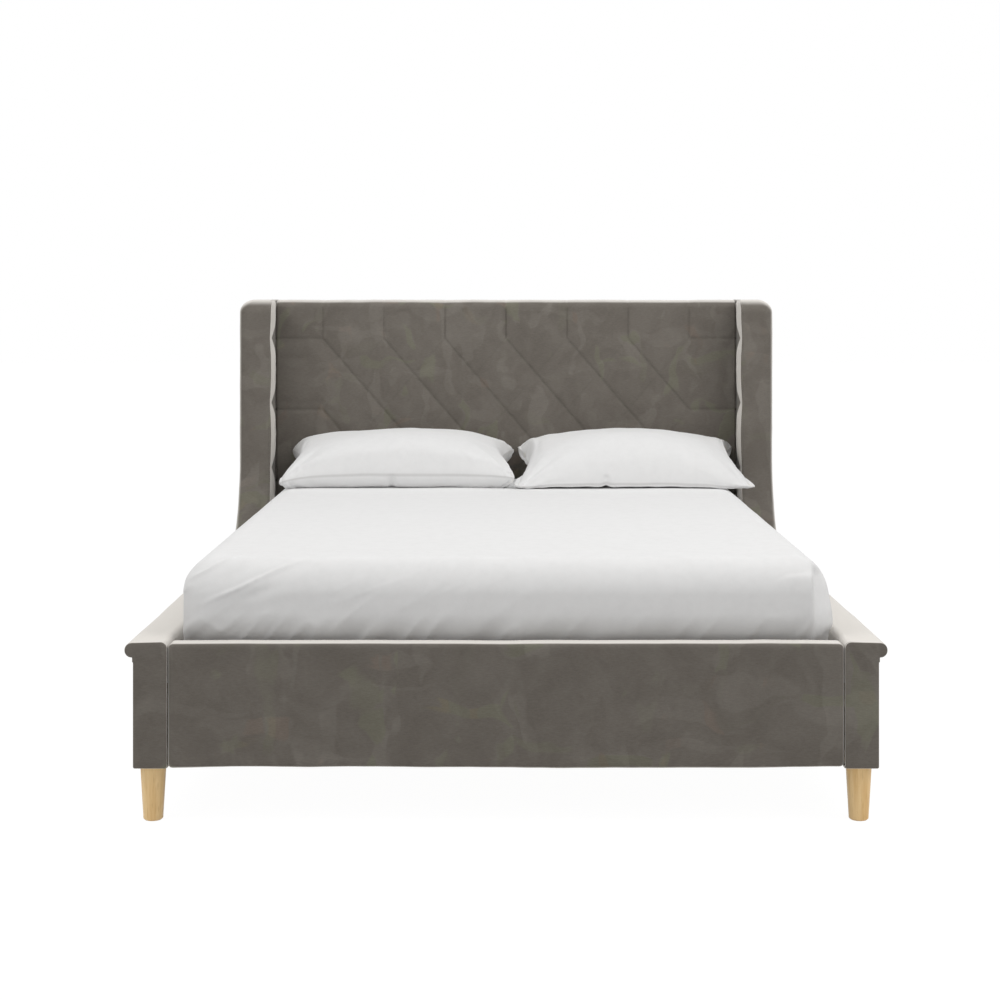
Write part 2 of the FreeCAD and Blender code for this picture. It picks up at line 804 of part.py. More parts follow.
def fitted_sheet():
    """Cotton sheet over the mattress, its hem turned under all round."""
    t = sheet_thickness
    skin = soft_box(mattress_width / 2 + t, mattress_foot - t, mattress_head + t,
                    mattress_bottom - t, mattress_top + t,
                    mattress_corner_radius + t, mattress_edge_radius + t)
    half = mattress_width / 2 - sheet_tuck
    opening = box(-half, half, mattress_foot + sheet_tuck, mattress_head - sheet_tuck,
                  mattress_bottom - 2 * t, mattress_bottom + t)
    return skin.cut([mattress(), opening])


def pillow_shape(x, inset):
    """Crowned block, thin along its seam all round: two lens sections crossed."""
    half_x = pillow_width / 2 - inset
    half_y = pillow_depth / 2 - inset
    crown = pillow_crown - inset
    belly = pillow_belly - inset
    edge = pillow_edge / 2 - inset
    seam = mattress_top + sheet_thickness + soft_clearance + pillow_belly
    y = pad_face - soft_clearance - upholstery_seam - pillow_depth / 2

    def lens(place, middle, half):
        low = place(middle - half, seam - edge), place(middle + half, seam - edge)
        high = place(middle - half, seam + edge), place(middle + half, seam + edge)
        edges = [
            Part.Arc(low[0], place(middle, seam - belly), low[1]).toShape(),
            Part.makeLine(low[1], high[1]),
            Part.Arc(high[1], place(middle, seam + crown), high[0]).toShape(),
            Part.makeLine(high[0], low[0]),
        ]
        return Part.Face(Part.Wire(edges))

    along = slab_y(lens(in_xz(y - half_y), x, half_x), 2 * half_y)
    wide = slab_x(lens(in_yz(x - half_x), y, half_y), 2 * half_x)
    return along.common(wide)


def pillow_centres():
    """Middle of the left and of the right pillow across the bed."""
    left = pillow_inset - mattress_width / 2 + pillow_width / 2
    right = pillow_overhang + mattress_width / 2 - pillow_width / 2
    return {"left": left, "right": right}


def pillow(x):
    """Filled pillow, soft and plain."""
    return pillow_shape(x, pillowcase_thickness)


def pillowcase(x):
    """Cotton case closed round the pillow."""
    return pillow_shape(x, 0).cut(pillow(x))


# ---------------------------------------------------------------- assembly
def both_sides(name, shape):
    """The same piece on the right and, mirrored, on the left."""
    return {name + "_right": shape, name + "_left": across(shape)}


def build():
    """Every sub-part by name."""
    nodes = {}
    nodes.update(both_sides("side_rail_core", side_rail_core()))
    nodes.update(both_sides("rail_nosing", rail_nosing()))
    nodes.update(both_sides("rail_cover", rail_cover()))
    nodes.update(both_sides("rail_facing", rail_facing()))
    nodes.update(both_sides("slat_ledger", slat_ledger()))
    nodes.update(both_sides("headboard_stile", headboard_stile()))
    nodes.update(both_sides("wing_core", wing_core()))
    nodes.update(both_sides("wing_cover", wing_cover()))
    nodes.update(both_sides("wing_tufted_pad", wing_tufted_pad()))
    nodes["footboard_core"] = footboard_core()
    nodes["footboard_cover"] = footboard_cover()
    nodes["headboard_top_rail"] = headboard_rail(head_core_top - head_rail_width)
    nodes["headboard_bottom_rail"] = headboard_rail(beam_bottom)
    nodes["headboard_face_board"] = headboard_face_board()
    nodes["headboard_tufted_pad"] = headboard_tufted_pad()
    nodes["headboard_back_panel"] = headboard_back_panel()

    for number, y in enumerate(slat_centres(), start=1):
        nodes["slat_%02d" % number] = slat(y)
    nodes["centre_beam"] = centre_beam()
    hangers = [beam_hanger(foot_back, 1), beam_hanger(pad_back, -1)]
    nodes["beam_hangers"] = Part.makeCompound(hangers)
    for place, y in zip(("front", "rear"), centre_leg_places()):
        nodes["centre_leg_" + place] = centre_leg(y)
        nodes["levelling_foot_" + place] = levelling_foot(y)

    paired = {
        "corner_brackets": corner_bracket(),
        "rail_hook_plates": rail_hook_plate(),
        "receiver_plates": receiver_plate(),
        "legs_front": leg(rail_centre, foot_front + leg_inset_front),
        "legs_rear": leg(wing_centre, head_end - leg_inset_rear),
    }
    for name, solid in paired.items():
        nodes[name] = Part.makeCompound([solid, across(solid)])

    nodes["mattress"] = mattress()
    nodes["fitted_sheet"] = fitted_sheet()
    for side, x in pillow_centres().items():
        nodes["pillow_" + side] = pillow(x)
        nodes["pillowcase_" + side] = pillowcase(x)
    return nodes


os.makedirs("parts", exist_ok=True)
for node, shape in build().items():
    shape.exportStep("parts/" + node + ".step")
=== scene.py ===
"""Looks of an upholstered wingback sleigh bed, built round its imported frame.

Metres. X runs across the bed, Y from the foot to the head, Z up. Every place comes from the
frame's own boxes. The sizes written here are those that the frame doesn't hold: seams, rolls,
wrinkles, threads and grain.
"""
import logging
import math
from dataclasses import dataclass, field
from enum import Enum

import bmesh
import bpy
import numpy as np
from bpy.types import Material, Mesh, Node, NodeSocket, NodeTree, Object
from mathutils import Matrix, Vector
from numpy.typing import NDArray


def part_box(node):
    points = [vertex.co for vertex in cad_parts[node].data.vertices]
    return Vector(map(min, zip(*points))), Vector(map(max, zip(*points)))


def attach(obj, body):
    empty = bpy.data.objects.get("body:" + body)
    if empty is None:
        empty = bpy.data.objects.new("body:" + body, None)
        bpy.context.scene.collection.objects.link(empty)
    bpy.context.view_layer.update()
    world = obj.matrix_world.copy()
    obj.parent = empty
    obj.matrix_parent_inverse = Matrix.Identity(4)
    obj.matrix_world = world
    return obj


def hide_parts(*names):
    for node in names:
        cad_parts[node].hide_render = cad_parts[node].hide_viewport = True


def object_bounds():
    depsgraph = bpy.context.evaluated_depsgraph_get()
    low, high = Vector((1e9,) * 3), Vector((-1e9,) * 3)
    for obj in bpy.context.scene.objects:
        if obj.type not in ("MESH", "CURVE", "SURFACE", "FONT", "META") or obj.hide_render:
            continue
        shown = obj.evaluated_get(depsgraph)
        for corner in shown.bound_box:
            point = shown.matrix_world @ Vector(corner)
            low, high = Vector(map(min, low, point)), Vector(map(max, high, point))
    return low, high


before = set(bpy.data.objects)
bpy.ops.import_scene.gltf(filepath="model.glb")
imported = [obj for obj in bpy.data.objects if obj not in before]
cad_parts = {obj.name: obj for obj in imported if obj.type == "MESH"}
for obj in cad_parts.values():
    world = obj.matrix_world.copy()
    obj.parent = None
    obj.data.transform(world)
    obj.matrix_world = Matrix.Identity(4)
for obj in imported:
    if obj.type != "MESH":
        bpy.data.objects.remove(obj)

Array = NDArray[np.float64]
Numbers = NDArray[np.int64]
Triple = tuple[float, float, float]
Colour = Triple
Pair = tuple[float, float]
Seam = tuple[Pair, Pair]
Input = NodeSocket | Triple | float

CAD_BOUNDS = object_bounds()
LOG = logging.getLogger("bed")


# ---- options
class Side(Enum):
    """Side of the bed, seen from the foot."""

    LEFT = "left"
    RIGHT = "right"

    @property
    def sign(self) -> float:
        """-1 on the left, +1 on the right."""
        return -1.0 if self is Side.LEFT else 1.0

    def node(self, name: str) -> str:
        """Name of this side's node."""
        return f"{name}_{self.value}"


class Grain(Enum):
    """Direction of the wood's grain, with the stretch that a pattern gets along it."""

    ACROSS = (0.05, 1.0, 1.0)
    ALONG = (1.0, 0.05, 1.0)
    UPRIGHT = (1.0, 1.0, 0.05)


# ---- numbers on whole arrays
def value_noise(u: Array, v: Array, seed: int) -> Array:
    """Smooth noise between -1 and 1: random heights on a unit lattice, joined by smooth steps.

    Args:
        u: first coordinate, in lattice cells.
        v: second coordinate, in lattice cells.
        seed: picks the lattice's heights.

    Returns:
        The noise at each point.
    """
    size = 128
    lattice = np.random.default_rng(seed).uniform(-1.0, 1.0, (size, size))
    cell_u, cell_v = np.floor(u).astype(int), np.floor(v).astype(int)
    fu, fv = u - cell_u, v - cell_v
    su, sv = fu * fu * (3.0 - 2.0 * fu), fv * fv * (3.0 - 2.0 * fv)
    here_u, here_v = cell_u % size, cell_v % size
    next_u, next_v = (cell_u + 1) % size, (cell_v + 1) % size
    low = lattice[here_u, here_v] * (1.0 - su) + lattice[next_u, here_v] * su
    high = lattice[here_u, next_v] * (1.0 - su) + lattice[next_u, next_v] * su
    return low * (1.0 - sv) + high * sv


def layered_noise(u: Array, v: Array, seed: int, layers: int = 3) -> Array:
    """Sum of value noise whose cells halve, and whose heights halve, from layer to layer.

    Args:
        u: first coordinate, in cells of the coarsest layer.
        v: second coordinate.
        seed: seed of the coarsest layer.
        layers: how many layers.

    Returns:
        The noise at each point.
    """
    total = np.zeros(np.broadcast(u, v).shape)
    for layer in range(layers):
        total = total + value_noise(u * 2**layer, v * 2**layer, seed + layer) / 2**layer
    return total


def grid_of(*parts: Array) -> Array:
    """Stacks coordinates that broadcast together as the last axis of one grid."""
    return np.stack(np.broadcast_arrays(*parts), axis=-1)


def coordinates(points: Array) -> Array:
    """The x, y and z of a grid of points, as views."""
    return np.moveaxis(points, -1, 0)


def smooth_step(value: Array, start: float, end: float) -> Array:
    """0 before start, 1 after end, and the cubic 3t^2 - 2t^3 between."""
    t = np.clip((value - start) / (end - start), 0.0, 1.0)
    return t * t * (3.0 - 2.0 * t)


def seam_distance(u: Array, v: Array, seams: list[Seam]) -> Array:
    """Distance from each point to the nearest seam, each seam being a straight segment.

    Args:
        u: first coordinate of each point.
        v: second coordinate.
        seams: both ends of each seam.

    Returns:
        The distances.
    """
    nearest = np.full(np.broadcast(u, v).shape, np.inf)
    for (u0, v0), (u1, v1) in seams:
        du, dv = u1 - u0, v1 - v0
        share = np.clip(((u - u0) * du + (v - v0) * dv) / (du * du + dv * dv), 0.0, 1.0)
        reach = np.hypot(u - u0 - share * du, v - v0 - share * dv)
        nearest = np.minimum(nearest, reach)
    return nearest


def edge_roll(distance: Array, radius: float) -> Array:
    """Drop of a quarter-round edge: the radius at the edge itself, nothing a radius away."""
    short = np.clip(radius - distance, 0.0, radius)
    return radius - np.sqrt(radius * radius - short * short)


def smooth_line(value: Array, knots: tuple[Pair, ...]) -> Array:
    """Smooth curve through knots: cubics whose slope at a knot is that of its neighbours.

    Args:
        value: places along the line.
        knots: place and height of each knot, in order.

    Returns:
        The heights.
    """
    at, height = np.array(knots).T
    slope = np.gradient(height, at)
    cell = np.clip(np.searchsorted(at, value, side="right") - 1, 0, len(at) - 2)
    width = at[cell + 1] - at[cell]
    t = np.clip((value - at[cell]) / width, 0.0, 1.0)
    rise = height[cell + 1] - height[cell]
    first = slope[cell] * width
    last = slope[cell + 1] * width
    return (height[cell] + t * first + t * t * (3.0 * rise - 2.0 * first - last)
            + t**3 * (first + last - 2.0 * rise))


def rounded_path(corners: list[Triple], step: float, closed: bool) -> Array:
    """Points along a polygon whose corners are circular arcs.

    Args:
        corners: (u, v, radius) of each corner.
        step: greatest distance between neighbouring points.
        closed: whether the last corner runs back to the first.

    Returns:
        The points, one row each.
    """
    places = np.array([corner[:2] for corner in corners])
    pieces: list[Array] = []
    last = len(corners) - 1
    for number, (u, v, radius) in enumerate(corners):
        here = np.array([u, v])
        if radius <= 0.0 or (not closed and number in (0, last)):
            pieces.append(here[None])
            continue
        back = places[number - 1] - here
        ahead = places[(number + 1) % len(corners)] - here
        back, ahead = back / np.linalg.norm(back), ahead / np.linalg.norm(ahead)
        half = math.acos(float(np.clip(back @ ahead, -1.0, 1.0))) / 2.0
        middle = (back + ahead) / np.linalg.norm(back + ahead)
        centre = here + middle * radius / math.sin(half)
        start = here + back * radius / math.tan(half) - centre
        side = here - centre
        side = side / np.linalg.norm(side)
        across = start - side * (start @ side)
        across = across / np.linalg.norm(across)
        sweep = math.pi / 2.0 - half
        turns = max(3, math.ceil(2.0 * sweep * radius / step) + 1)
        angles = np.linspace(sweep, -sweep, turns)[:, None]
        pieces.append(centre + radius * (np.cos(angles) * side + np.sin(angles) * across))
    line = np.concatenate(pieces + [pieces[0][:1]] if closed else pieces)
    runs: list[Array] = []
    for start, end in zip(line[:-1], line[1:]):
        parts = max(1, math.ceil(float(np.linalg.norm(end - start)) / step))
        share = np.linspace(0.0, 1.0, parts, endpoint=False)[:, None]
        runs.append(start + (end - start) * share)
    if not closed:
        runs.append(line[-1:])
    return np.concatenate(runs)


def path_normals(path: Array, closed: bool) -> Array:
    """Unit normals of a path, to the right of its direction: the mean of its two runs, turned.

    Args:
        path: points, one row each.
        closed: whether the last point joins the first.

    Returns:
        One normal for each point.
    """
    if closed:
        along = np.roll(path, -1, axis=0) - np.roll(path, 1, axis=0)
    else:
        along = np.gradient(path, axis=0)
    normals = np.stack([along[:, 1], -along[:, 0]], axis=1)
    return normals / np.linalg.norm(normals, axis=1, keepdims=True)


def arc_lengths(path: Array) -> Array:
    """Distance along a path from its first point."""
    steps = np.linalg.norm(np.diff(path, axis=0), axis=1)
    return np.concatenate([[0.0], np.cumsum(steps)])


# ---- meshes
class Shell:
    """Gathers grids of points and the faces between them into one closed mesh."""

    MERGE = 2e-5
    SLIVER = 1e-6

    def __init__(self) -> None:
        """Starts with no points and no faces."""
        self._points: list[Array] = []
        self._cloth: list[Array] = []
        self._masks: list[Array] = []
        self._quads: list[Numbers] = []
        self._count = 0

    def add(self, points: Array, cloth: Array | None = None,
            mask: Array | None = None) -> Numbers:
        """Adds a grid of points.

        Args:
            points: array of shape (rows, columns, 3).
            cloth: coordinates on the cloth, in metres, of shape (rows, columns, 2).
            mask: from 0 to 1, how much painted shade each point gets; on the mattress, how much of
                its tape's darker colour shows.

        Returns:
            The points' numbers, of shape (rows, columns).
        """
        flat = points.reshape(-1, 3)
        numbers = self._count + np.arange(len(flat)).reshape(points.shape[:-1])
        self._points.append(flat)
        self._cloth.append(flat[:, :2] if cloth is None else cloth.reshape(-1, 2))
        self._masks.append(np.zeros(len(flat)) if mask is None else mask.reshape(-1))
        self._count += len(flat)
        return numbers

    def span(self, numbers: Numbers, close_rows: bool = False,
             close_columns: bool = False) -> None:
        """Lays a quad between each four neighbours of a grid of point numbers.

        Args:
            numbers: grid of point numbers.
            close_rows: whether the last row joins the first.
            close_columns: whether the last column joins the first.
        """
        grid = numbers
        if close_columns:
            grid = np.concatenate([grid, grid[:, :1]], axis=1)
        if close_rows:
            grid = np.concatenate([grid, grid[:1]], axis=0)
        quads = np.stack([grid[:-1, :-1], grid[:-1, 1:], grid[1:, 1:], grid[1:, :-1]], axis=-1)
        self._quads.append(quads.reshape(-1, 4))

    def bridge(self, first: Numbers, second: Numbers,
               closed: bool = False) -> None:
        """Joins two equal rows of point numbers with quads."""
        self.span(np.stack([first, second]), close_columns=closed)

    def skin_pair(self, outer: Array, inner: Array, cloth: Array | None = None,
                  mask: Array | None = None, round_rows: bool = False) -> None:
        """Closed shell between two grids of the same shape, stitched round their borders.

        Args:
            outer: outer surface, (rows, columns, 3).
            inner: inner surface, of the same shape.
            cloth: coordinates on the cloth.
            mask: painted shade of the outer surface, from 0 to 1.
            round_rows: whether the rows run round and close on themselves.
        """
        top, under = self.add(outer, cloth, mask), self.add(inner, cloth)
        self.span(top, close_rows=round_rows)
        self.span(under[:, ::-1], close_rows=round_rows)
        for edge in (0, -1):
            self.bridge(top[:, edge], under[:, edge], closed=round_rows)
            if not round_rows:
                self.bridge(top[edge], under[edge])

    def piece(self, name: str, crease_angle: float = 40.0) -> Object:
        """Makes the mesh: doubles merged, faces outwards, smooth but for its creases.

        Args:
            name: name of the new object.
            crease_angle: edges that turn by more than this many degrees stay sharp.

        Returns:
            The object, linked to the scene.
        """
        points = np.concatenate(self._points)
        quads = np.concatenate(self._quads)
        mesh = bpy.data.meshes.new(name)
        mesh.vertices.add(len(points))
        mesh.vertices.foreach_set("co", points.ravel())
        mesh.loops.add(quads.size)
        mesh.loops.foreach_set("vertex_index", quads.ravel())
        mesh.polygons.add(len(quads))
        mesh.polygons.foreach_set("loop_start", np.arange(0, quads.size, 4))
        mesh.update(calc_edges=True)
        cloth = np.concatenate(self._cloth)[quads.ravel()]
        mesh.uv_layers.new(name="cloth").data.foreach_set("uv", cloth.ravel())
        # The seam attribute holds each point's painted shade, and on the mattress its tape's own
        # darker colour.
        masks = mesh.attributes.new("seam", "FLOAT", "POINT")
        masks.data.foreach_set("value", np.concatenate(self._masks))
        work = bmesh.new()
        work.from_mesh(mesh)
        bmesh.ops.remove_doubles(work, verts=work.verts[:], dist=self.MERGE)
        bmesh.ops.dissolve_degenerate(work, edges=work.edges[:], dist=self.SLIVER)
        bmesh.ops.recalc_face_normals(work, faces=work.faces[:])
        work.to_mesh(mesh)
        work.free()
        mesh.shade_smooth()
        mesh.set_sharp_from_angle(angle=math.radians(crease_angle))
        made = bpy.data.objects.new(name, mesh)
        bpy.context.scene.collection.objects.link(made)
        return made


def read_points(mesh: Mesh) -> Array:
    """Places of a mesh's vertices, one row each.

    Args:
        mesh: the mesh.

    Returns:
        The places.
    """
    places = np.empty(len(mesh.vertices) * 3, np.float32)
    mesh.vertices.foreach_get("co", places)
    return places.reshape(-1, 3).astype(float)


def write_points(mesh: Mesh, places: Array) -> None:
    """Moves a mesh's vertices to new places."""
    mesh.vertices.foreach_set("co", places.astype(np.float32).ravel())
    mesh.update()


def apply_modifiers(piece: Object) -> None:
    """Bakes a piece's modifiers into its mesh.

    Args:
        piece: the piece.
    """
    bpy.context.view_layer.update()
    graph = bpy.context.evaluated_depsgraph_get()
    made = bpy.data.meshes.new_from_object(piece.evaluated_get(graph), depsgraph=graph)
    piece.modifiers.clear()
    old, piece.data = piece.data, made
    bpy.data.meshes.remove(old)


def swell(piece: Object, pressure: float, cap: float, frames: int = 20,
          stiffness: float = 12.0, shrink: float = 0.0) -> None:
    """Blows a closed piece up a little as cloth, then keeps the result.

    Each point moves by its simulated shift s, shortened to cap where |s| is more than cap.

    Args:
        piece: closed, evenly meshed piece.
        pressure: how hard the filling pushes.
        cap: greatest movement of a point.
        frames: how many steps the simulation takes.
        stiffness: how little the cover stretches.
        shrink: share by which the cloth shrinks, or grows where it is below nothing.
    """
    rest = read_points(piece.data)
    modifier = piece.modifiers.new("fill", "CLOTH")
    cloth = modifier.settings
    cloth.quality = 5
    cloth.mass = 0.3
    cloth.tension_stiffness = stiffness
    cloth.compression_stiffness = stiffness
    cloth.shear_stiffness = stiffness / 3.0
    cloth.bending_stiffness = 0.4
    cloth.use_pressure = True
    cloth.uniform_pressure_force = pressure
    cloth.shrink_min = shrink
    cloth.effector_weights.gravity = 0.0
    modifier.point_cache.frame_start = 1
    modifier.point_cache.frame_end = frames
    scene = bpy.context.scene
    for number in range(1, frames + 1):
        scene.frame_set(number)
    graph = bpy.context.evaluated_depsgraph_get()
    blown = read_points(piece.evaluated_get(graph).data)
    piece.modifiers.clear()
    scene.frame_set(1)
    shift = blown - rest
    length = np.linalg.norm(shift, axis=1, keepdims=True)
    write_points(piece.data, rest + shift * np.minimum(1.0, cap / np.maximum(length, 1e-9)))


def seat(piece: Object, body: str, material: Material, node: str) -> None:
    """Gives a finished piece its material and its body, and hides the frame's node that it stands
    for.

    Args:
        piece: the finished piece.
        body: body it moves with.
        material: its material.
        node: node of the frame that it stands for.
    """
    piece.data.materials.clear()
    piece.data.materials.append(material)
    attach(piece, body)
    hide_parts(node)
    LOG.info("%s: %d faces", piece.name, len(piece.data.polygons))


# ---- shader graphs
class Graph:
    """Short calls for adding nodes to a tree and joining them."""

    def __init__(self, tree: NodeTree) -> None:
        """Works on the given tree."""
        self.tree = tree

    def add(self, kind: str, settings: dict[str, object] | None = None,
            **inputs: Input) -> Node:
        """Adds a node.

        Args:
            kind: Blender's name of the node's type.
            settings: properties of the node.
            inputs: values or sockets by input name, with _ for a space.

        Returns:
            The new node.
        """
        node = self.tree.nodes.new(kind)
        for name, value in (settings or {}).items():
            setattr(node, name, value)
        self.fill(node, **inputs)
        return node

    def place(self, group: NodeTree, **inputs: Input) -> Node:
        """Adds a shader group with the material's own values."""
        return self.add("ShaderNodeGroup", {"node_tree": group}, **inputs)

    def fill(self, node: Node, **inputs: Input) -> None:
        """Feeds several inputs of a node, by name, with _ for a space."""
        for name, value in inputs.items():
            self.feed(node.inputs[name.replace("_", " ")], value)

    def feed(self, socket: NodeSocket, value: Input) -> None:
        """Links a socket to the input, or sets the input to a number, colour or vector.

        Args:
            socket: the node's input.
            value: a socket to link, or a number, colour or vector to set.
        """
        if isinstance(value, NodeSocket):
            self.tree.links.new(value, socket)
        elif socket.type == "RGBA":
            socket.default_value = (*value, 1.0)
        else:
            socket.default_value = value

    def feed_all(self, node: Node, terms: tuple[Input, ...]) -> NodeSocket:
        """Feeds a node's first inputs in order.

        Args:
            node: the node.
            terms: values or sockets.

        Returns:
            The node's first output.
        """
        for socket, term in zip(node.inputs, terms):
            self.feed(socket, term)
        return node.outputs[0]

    def calc(self, operation: str, *terms: Input) -> NodeSocket:
        """Arithmetic on up to three sockets or numbers."""
        return self.feed_all(self.add("ShaderNodeMath", {"operation": operation}), terms)

    def vector(self, operation: str, *terms: Input) -> NodeSocket:
        """Vector arithmetic on sockets or fixed vectors."""
        return self.feed_all(self.add("ShaderNodeVectorMath", {"operation": operation}), terms)

    def scaled(self, vector: Input, factor: Input) -> NodeSocket:
        """A vector times a number.

        Args:
            vector: the vector.
            factor: the number.

        Returns:
            The result.
        """
        result = self.vector("SCALE", vector)
        self.fill(result.node, Scale=factor)
        return result

    def ramp(self, value: Input, start: float, end: float, low: float = 0.0,
             high: float = 1.0) -> NodeSocket:
        """Smooth step of a value from start to end, giving low to high.

        Args:
            value: the value.
            start: where the step starts.
            end: where it ends.
            low: result before the start.
            high: result after the end.

        Returns:
            The result.
        """
        node = self.add("ShaderNodeMapRange", {"interpolation_type": "SMOOTHSTEP"}, Value=value,
                        From_Min=start, From_Max=end, To_Min=low, To_Max=high)
        return node.outputs["Result"]

    def blend(self, share: Input, first: Input, second: Input, kind: str = "MIX") -> NodeSocket:
        """Colour between first and second.

        Args:
            share: share of the second colour.
            first: first colour.
            second: second colour.
            kind: Blender's name of the blend.

        Returns:
            The result.
        """
        node = self.tree.nodes.new("ShaderNodeMix")
        node.data_type = "RGBA"
        node.blend_type = kind
        self.feed(node.inputs[0], share)
        self.feed(node.inputs[6], first)
        self.feed(node.inputs[7], second)
        return node.outputs[2]

    def relief(self, height: NodeSocket, strength: float, depth: float,
               inward: bool = False) -> NodeSocket:
        """Normal of a surface in fine relief.

        Args:
            height: height of the relief, from 0 to 1.
            strength: how strongly it shows.
            depth: what a height of 1 stands for, in metres.
            inward: whether it goes inwards.

        Returns:
            The normal.
        """
        bump = self.add("ShaderNodeBump", {"invert": inward}, Strength=strength, Distance=depth,
                        Height=height)
        return bump.outputs["Normal"]

    def seen(self) -> NodeSocket:
        """1 for rays from the camera, from gloss and through glass, 0 for light.

        Returns:
            The mask.
        """
        rays = self.add("ShaderNodeLightPath").outputs
        direct = self.calc("MAXIMUM", rays["Is Camera Ray"], rays["Is Glossy Ray"])
        return self.calc("MAXIMUM", direct, rays["Is Transmission Ray"])


def new_group(name: str, inputs: dict[str, tuple[str, float]],
              outputs: list[str]) -> tuple[NodeTree, Graph, Node, Node]:
    """Starts a shader node group with named sockets.

    Args:
        name: name of the group.
        inputs: socket type and default by input name.
        outputs: names of the outputs, all single values.

    Returns:
        The tree, a graph on it, its input node and its output node.
    """
    tree = bpy.data.node_groups.new(name, "ShaderNodeTree")
    for label, (kind, default) in inputs.items():
        socket = tree.interface.new_socket(label, in_out="INPUT", socket_type=kind)
        if kind == "NodeSocketFloat":
            socket.default_value = default
    for label in outputs:
        tree.interface.new_socket(label, in_out="OUTPUT", socket_type="NodeSocketFloat")
    graph = Graph(tree)
    return tree, graph, graph.add("NodeGroupInput"), graph.add("NodeGroupOutput")


def nap_group() -> NodeTree:
    """Brushed nap: sparse soft-edged strokes, upright and level, on a faintly clouded ground.

    Returns:
        The group's tree.
    """
    tree, graph, given, result = new_group(
        "Brushed nap",
        {"Vector": ("NodeSocketVector", 0.0), "Patch": ("NodeSocketFloat", 0.1)},
        ["Shade", "Green", "Pink", "Fuzz"])
    size = graph.calc("DIVIDE", 1.0, given.outputs["Patch"])
    where = graph.scaled(given.outputs["Vector"], size)
    warp = graph.add("ShaderNodeTexNoise", Vector=where, Scale=0.55, Detail=1.5, Roughness=0.5)
    pushed = graph.vector("MULTIPLY_ADD", warp.outputs["Color"], (1.9, 1.9, 1.9), where)
    strokes = []
    for stretch, start in (((1.5, 1.5, 0.42), 0.52), ((0.42, 0.42, 1.7), 0.58)):
        cells = graph.add("ShaderNodeTexVoronoi",
                          {"feature": "SMOOTH_F1", "distance": "CHEBYCHEV"},
                          Vector=graph.vector("MULTIPLY", pushed, stretch), Scale=1.0,
                          Smoothness=0.55, Randomness=1.0)
        parts = graph.add("ShaderNodeSeparateColor", Color=cells.outputs["Color"])
        strokes.append((graph.ramp(parts.outputs[0], start, start + 0.24),
                        graph.ramp(parts.outputs[1], 0.62, 0.80),
                        graph.ramp(parts.outputs[2], 0.68, 0.84)))
    cloud = graph.add("ShaderNodeTexNoise", Vector=pushed, Scale=0.8, Detail=5.0,
                      Roughness=0.62, Distortion=0.3)
    shade = graph.ramp(cloud.outputs["Fac"], 0.28, 0.72, 0.0, 0.42)
    shade = graph.calc("MULTIPLY_ADD", strokes[0][0], 0.34, shade)
    shade = graph.calc("MULTIPLY_ADD", strokes[1][0], 0.24, shade)
    either = graph.calc("MAXIMUM", graph.calc("MULTIPLY", strokes[0][0], strokes[0][1]),
                        graph.calc("MULTIPLY", strokes[1][0], strokes[1][1]))
    pink = graph.calc("MULTIPLY", strokes[0][2], strokes[1][0])
    fuzz = graph.add("ShaderNodeTexNoise", Vector=given.outputs["Vector"], Scale=520.0,
                     Detail=3.0, Roughness=0.7)
    rows = graph.add("ShaderNodeTexNoise", Scale=420.0, Detail=2.0, Roughness=0.6,
                     Vector=graph.vector("MULTIPLY", given.outputs["Vector"], (0.2, 0.2, 1.0)))
    ribs = graph.calc("MULTIPLY_ADD", rows.outputs["Fac"], 0.5,
                      graph.calc("MULTIPLY", fuzz.outputs["Fac"], 0.5))
    graph.fill(result, Shade=shade, Green=either, Pink=pink, Fuzz=ribs)
    return tree


def weave_group() -> NodeTree:
    """Plain weave: the sum of one sine across each axis, which is a grid on any flat side.

    Returns:
        The group's tree.
    """
    tree, graph, given, result = new_group(
        "Plain weave",
        {"Vector": ("NodeSocketVector", 0.0), "Thread": ("NodeSocketFloat", 0.0006)},
        ["Height", "Slub"])
    turns = graph.calc("DIVIDE", 2.0 * math.pi, given.outputs["Thread"])
    axes = graph.add("ShaderNodeSeparateXYZ", Vector=graph.scaled(given.outputs["Vector"], turns))
    total = graph.calc("SINE", axes.outputs[0])
    total = graph.calc("ADD", total, graph.calc("SINE", axes.outputs[1]))
    total = graph.calc("ADD", total, graph.calc("SINE", axes.outputs[2]))
    height = graph.calc("MULTIPLY_ADD", total, 0.16, 0.5)
    slub = graph.add("ShaderNodeTexNoise", Vector=given.outputs["Vector"], Scale=38.0,
                     Detail=4.0, Roughness=0.65)
    graph.fill(result, Height=height, Slub=slub.outputs["Fac"])
    return tree


def grain_group() -> NodeTree:
    """Wood grain: noise on a vector already stretched along the grain, in coarse and fine lines.

    Returns:
        The group's tree.
    """
    tree, graph, given, result = new_group(
        "Wood grain",
        {"Vector": ("NodeSocketVector", 0.0), "Lines": ("NodeSocketFloat", 60.0)},
        ["Bands", "Pores"])
    bend = graph.add("ShaderNodeTexNoise", Vector=given.outputs["Vector"], Scale=6.0, Detail=1.0)
    bent = graph.vector("MULTIPLY_ADD", bend.outputs["Color"], (0.03, 0.03, 0.03),
                        given.outputs["Vector"])
    bands = graph.add("ShaderNodeTexNoise", Vector=bent, Scale=given.outputs["Lines"],
                      Detail=3.0, Roughness=0.55, Distortion=0.4)
    fine = graph.calc("MULTIPLY", given.outputs["Lines"], 7.0)
    pores = graph.add("ShaderNodeTexNoise", Vector=bent, Scale=fine, Detail=2.0, Roughness=0.5)
    graph.fill(result, Bands=graph.ramp(bands.outputs["Fac"], 0.32, 0.68),
               Pores=graph.ramp(pores.outputs["Fac"], 0.56, 0.72))
    return tree


@dataclass(frozen=True)
class Groups:
    """The shader groups that the finishes share."""

    nap: NodeTree
    weave: NodeTree
    grain: NodeTree

    @classmethod
    def built(cls) -> "Groups":
        """Builds each group once."""
        return cls(nap_group(), weave_group(), grain_group())


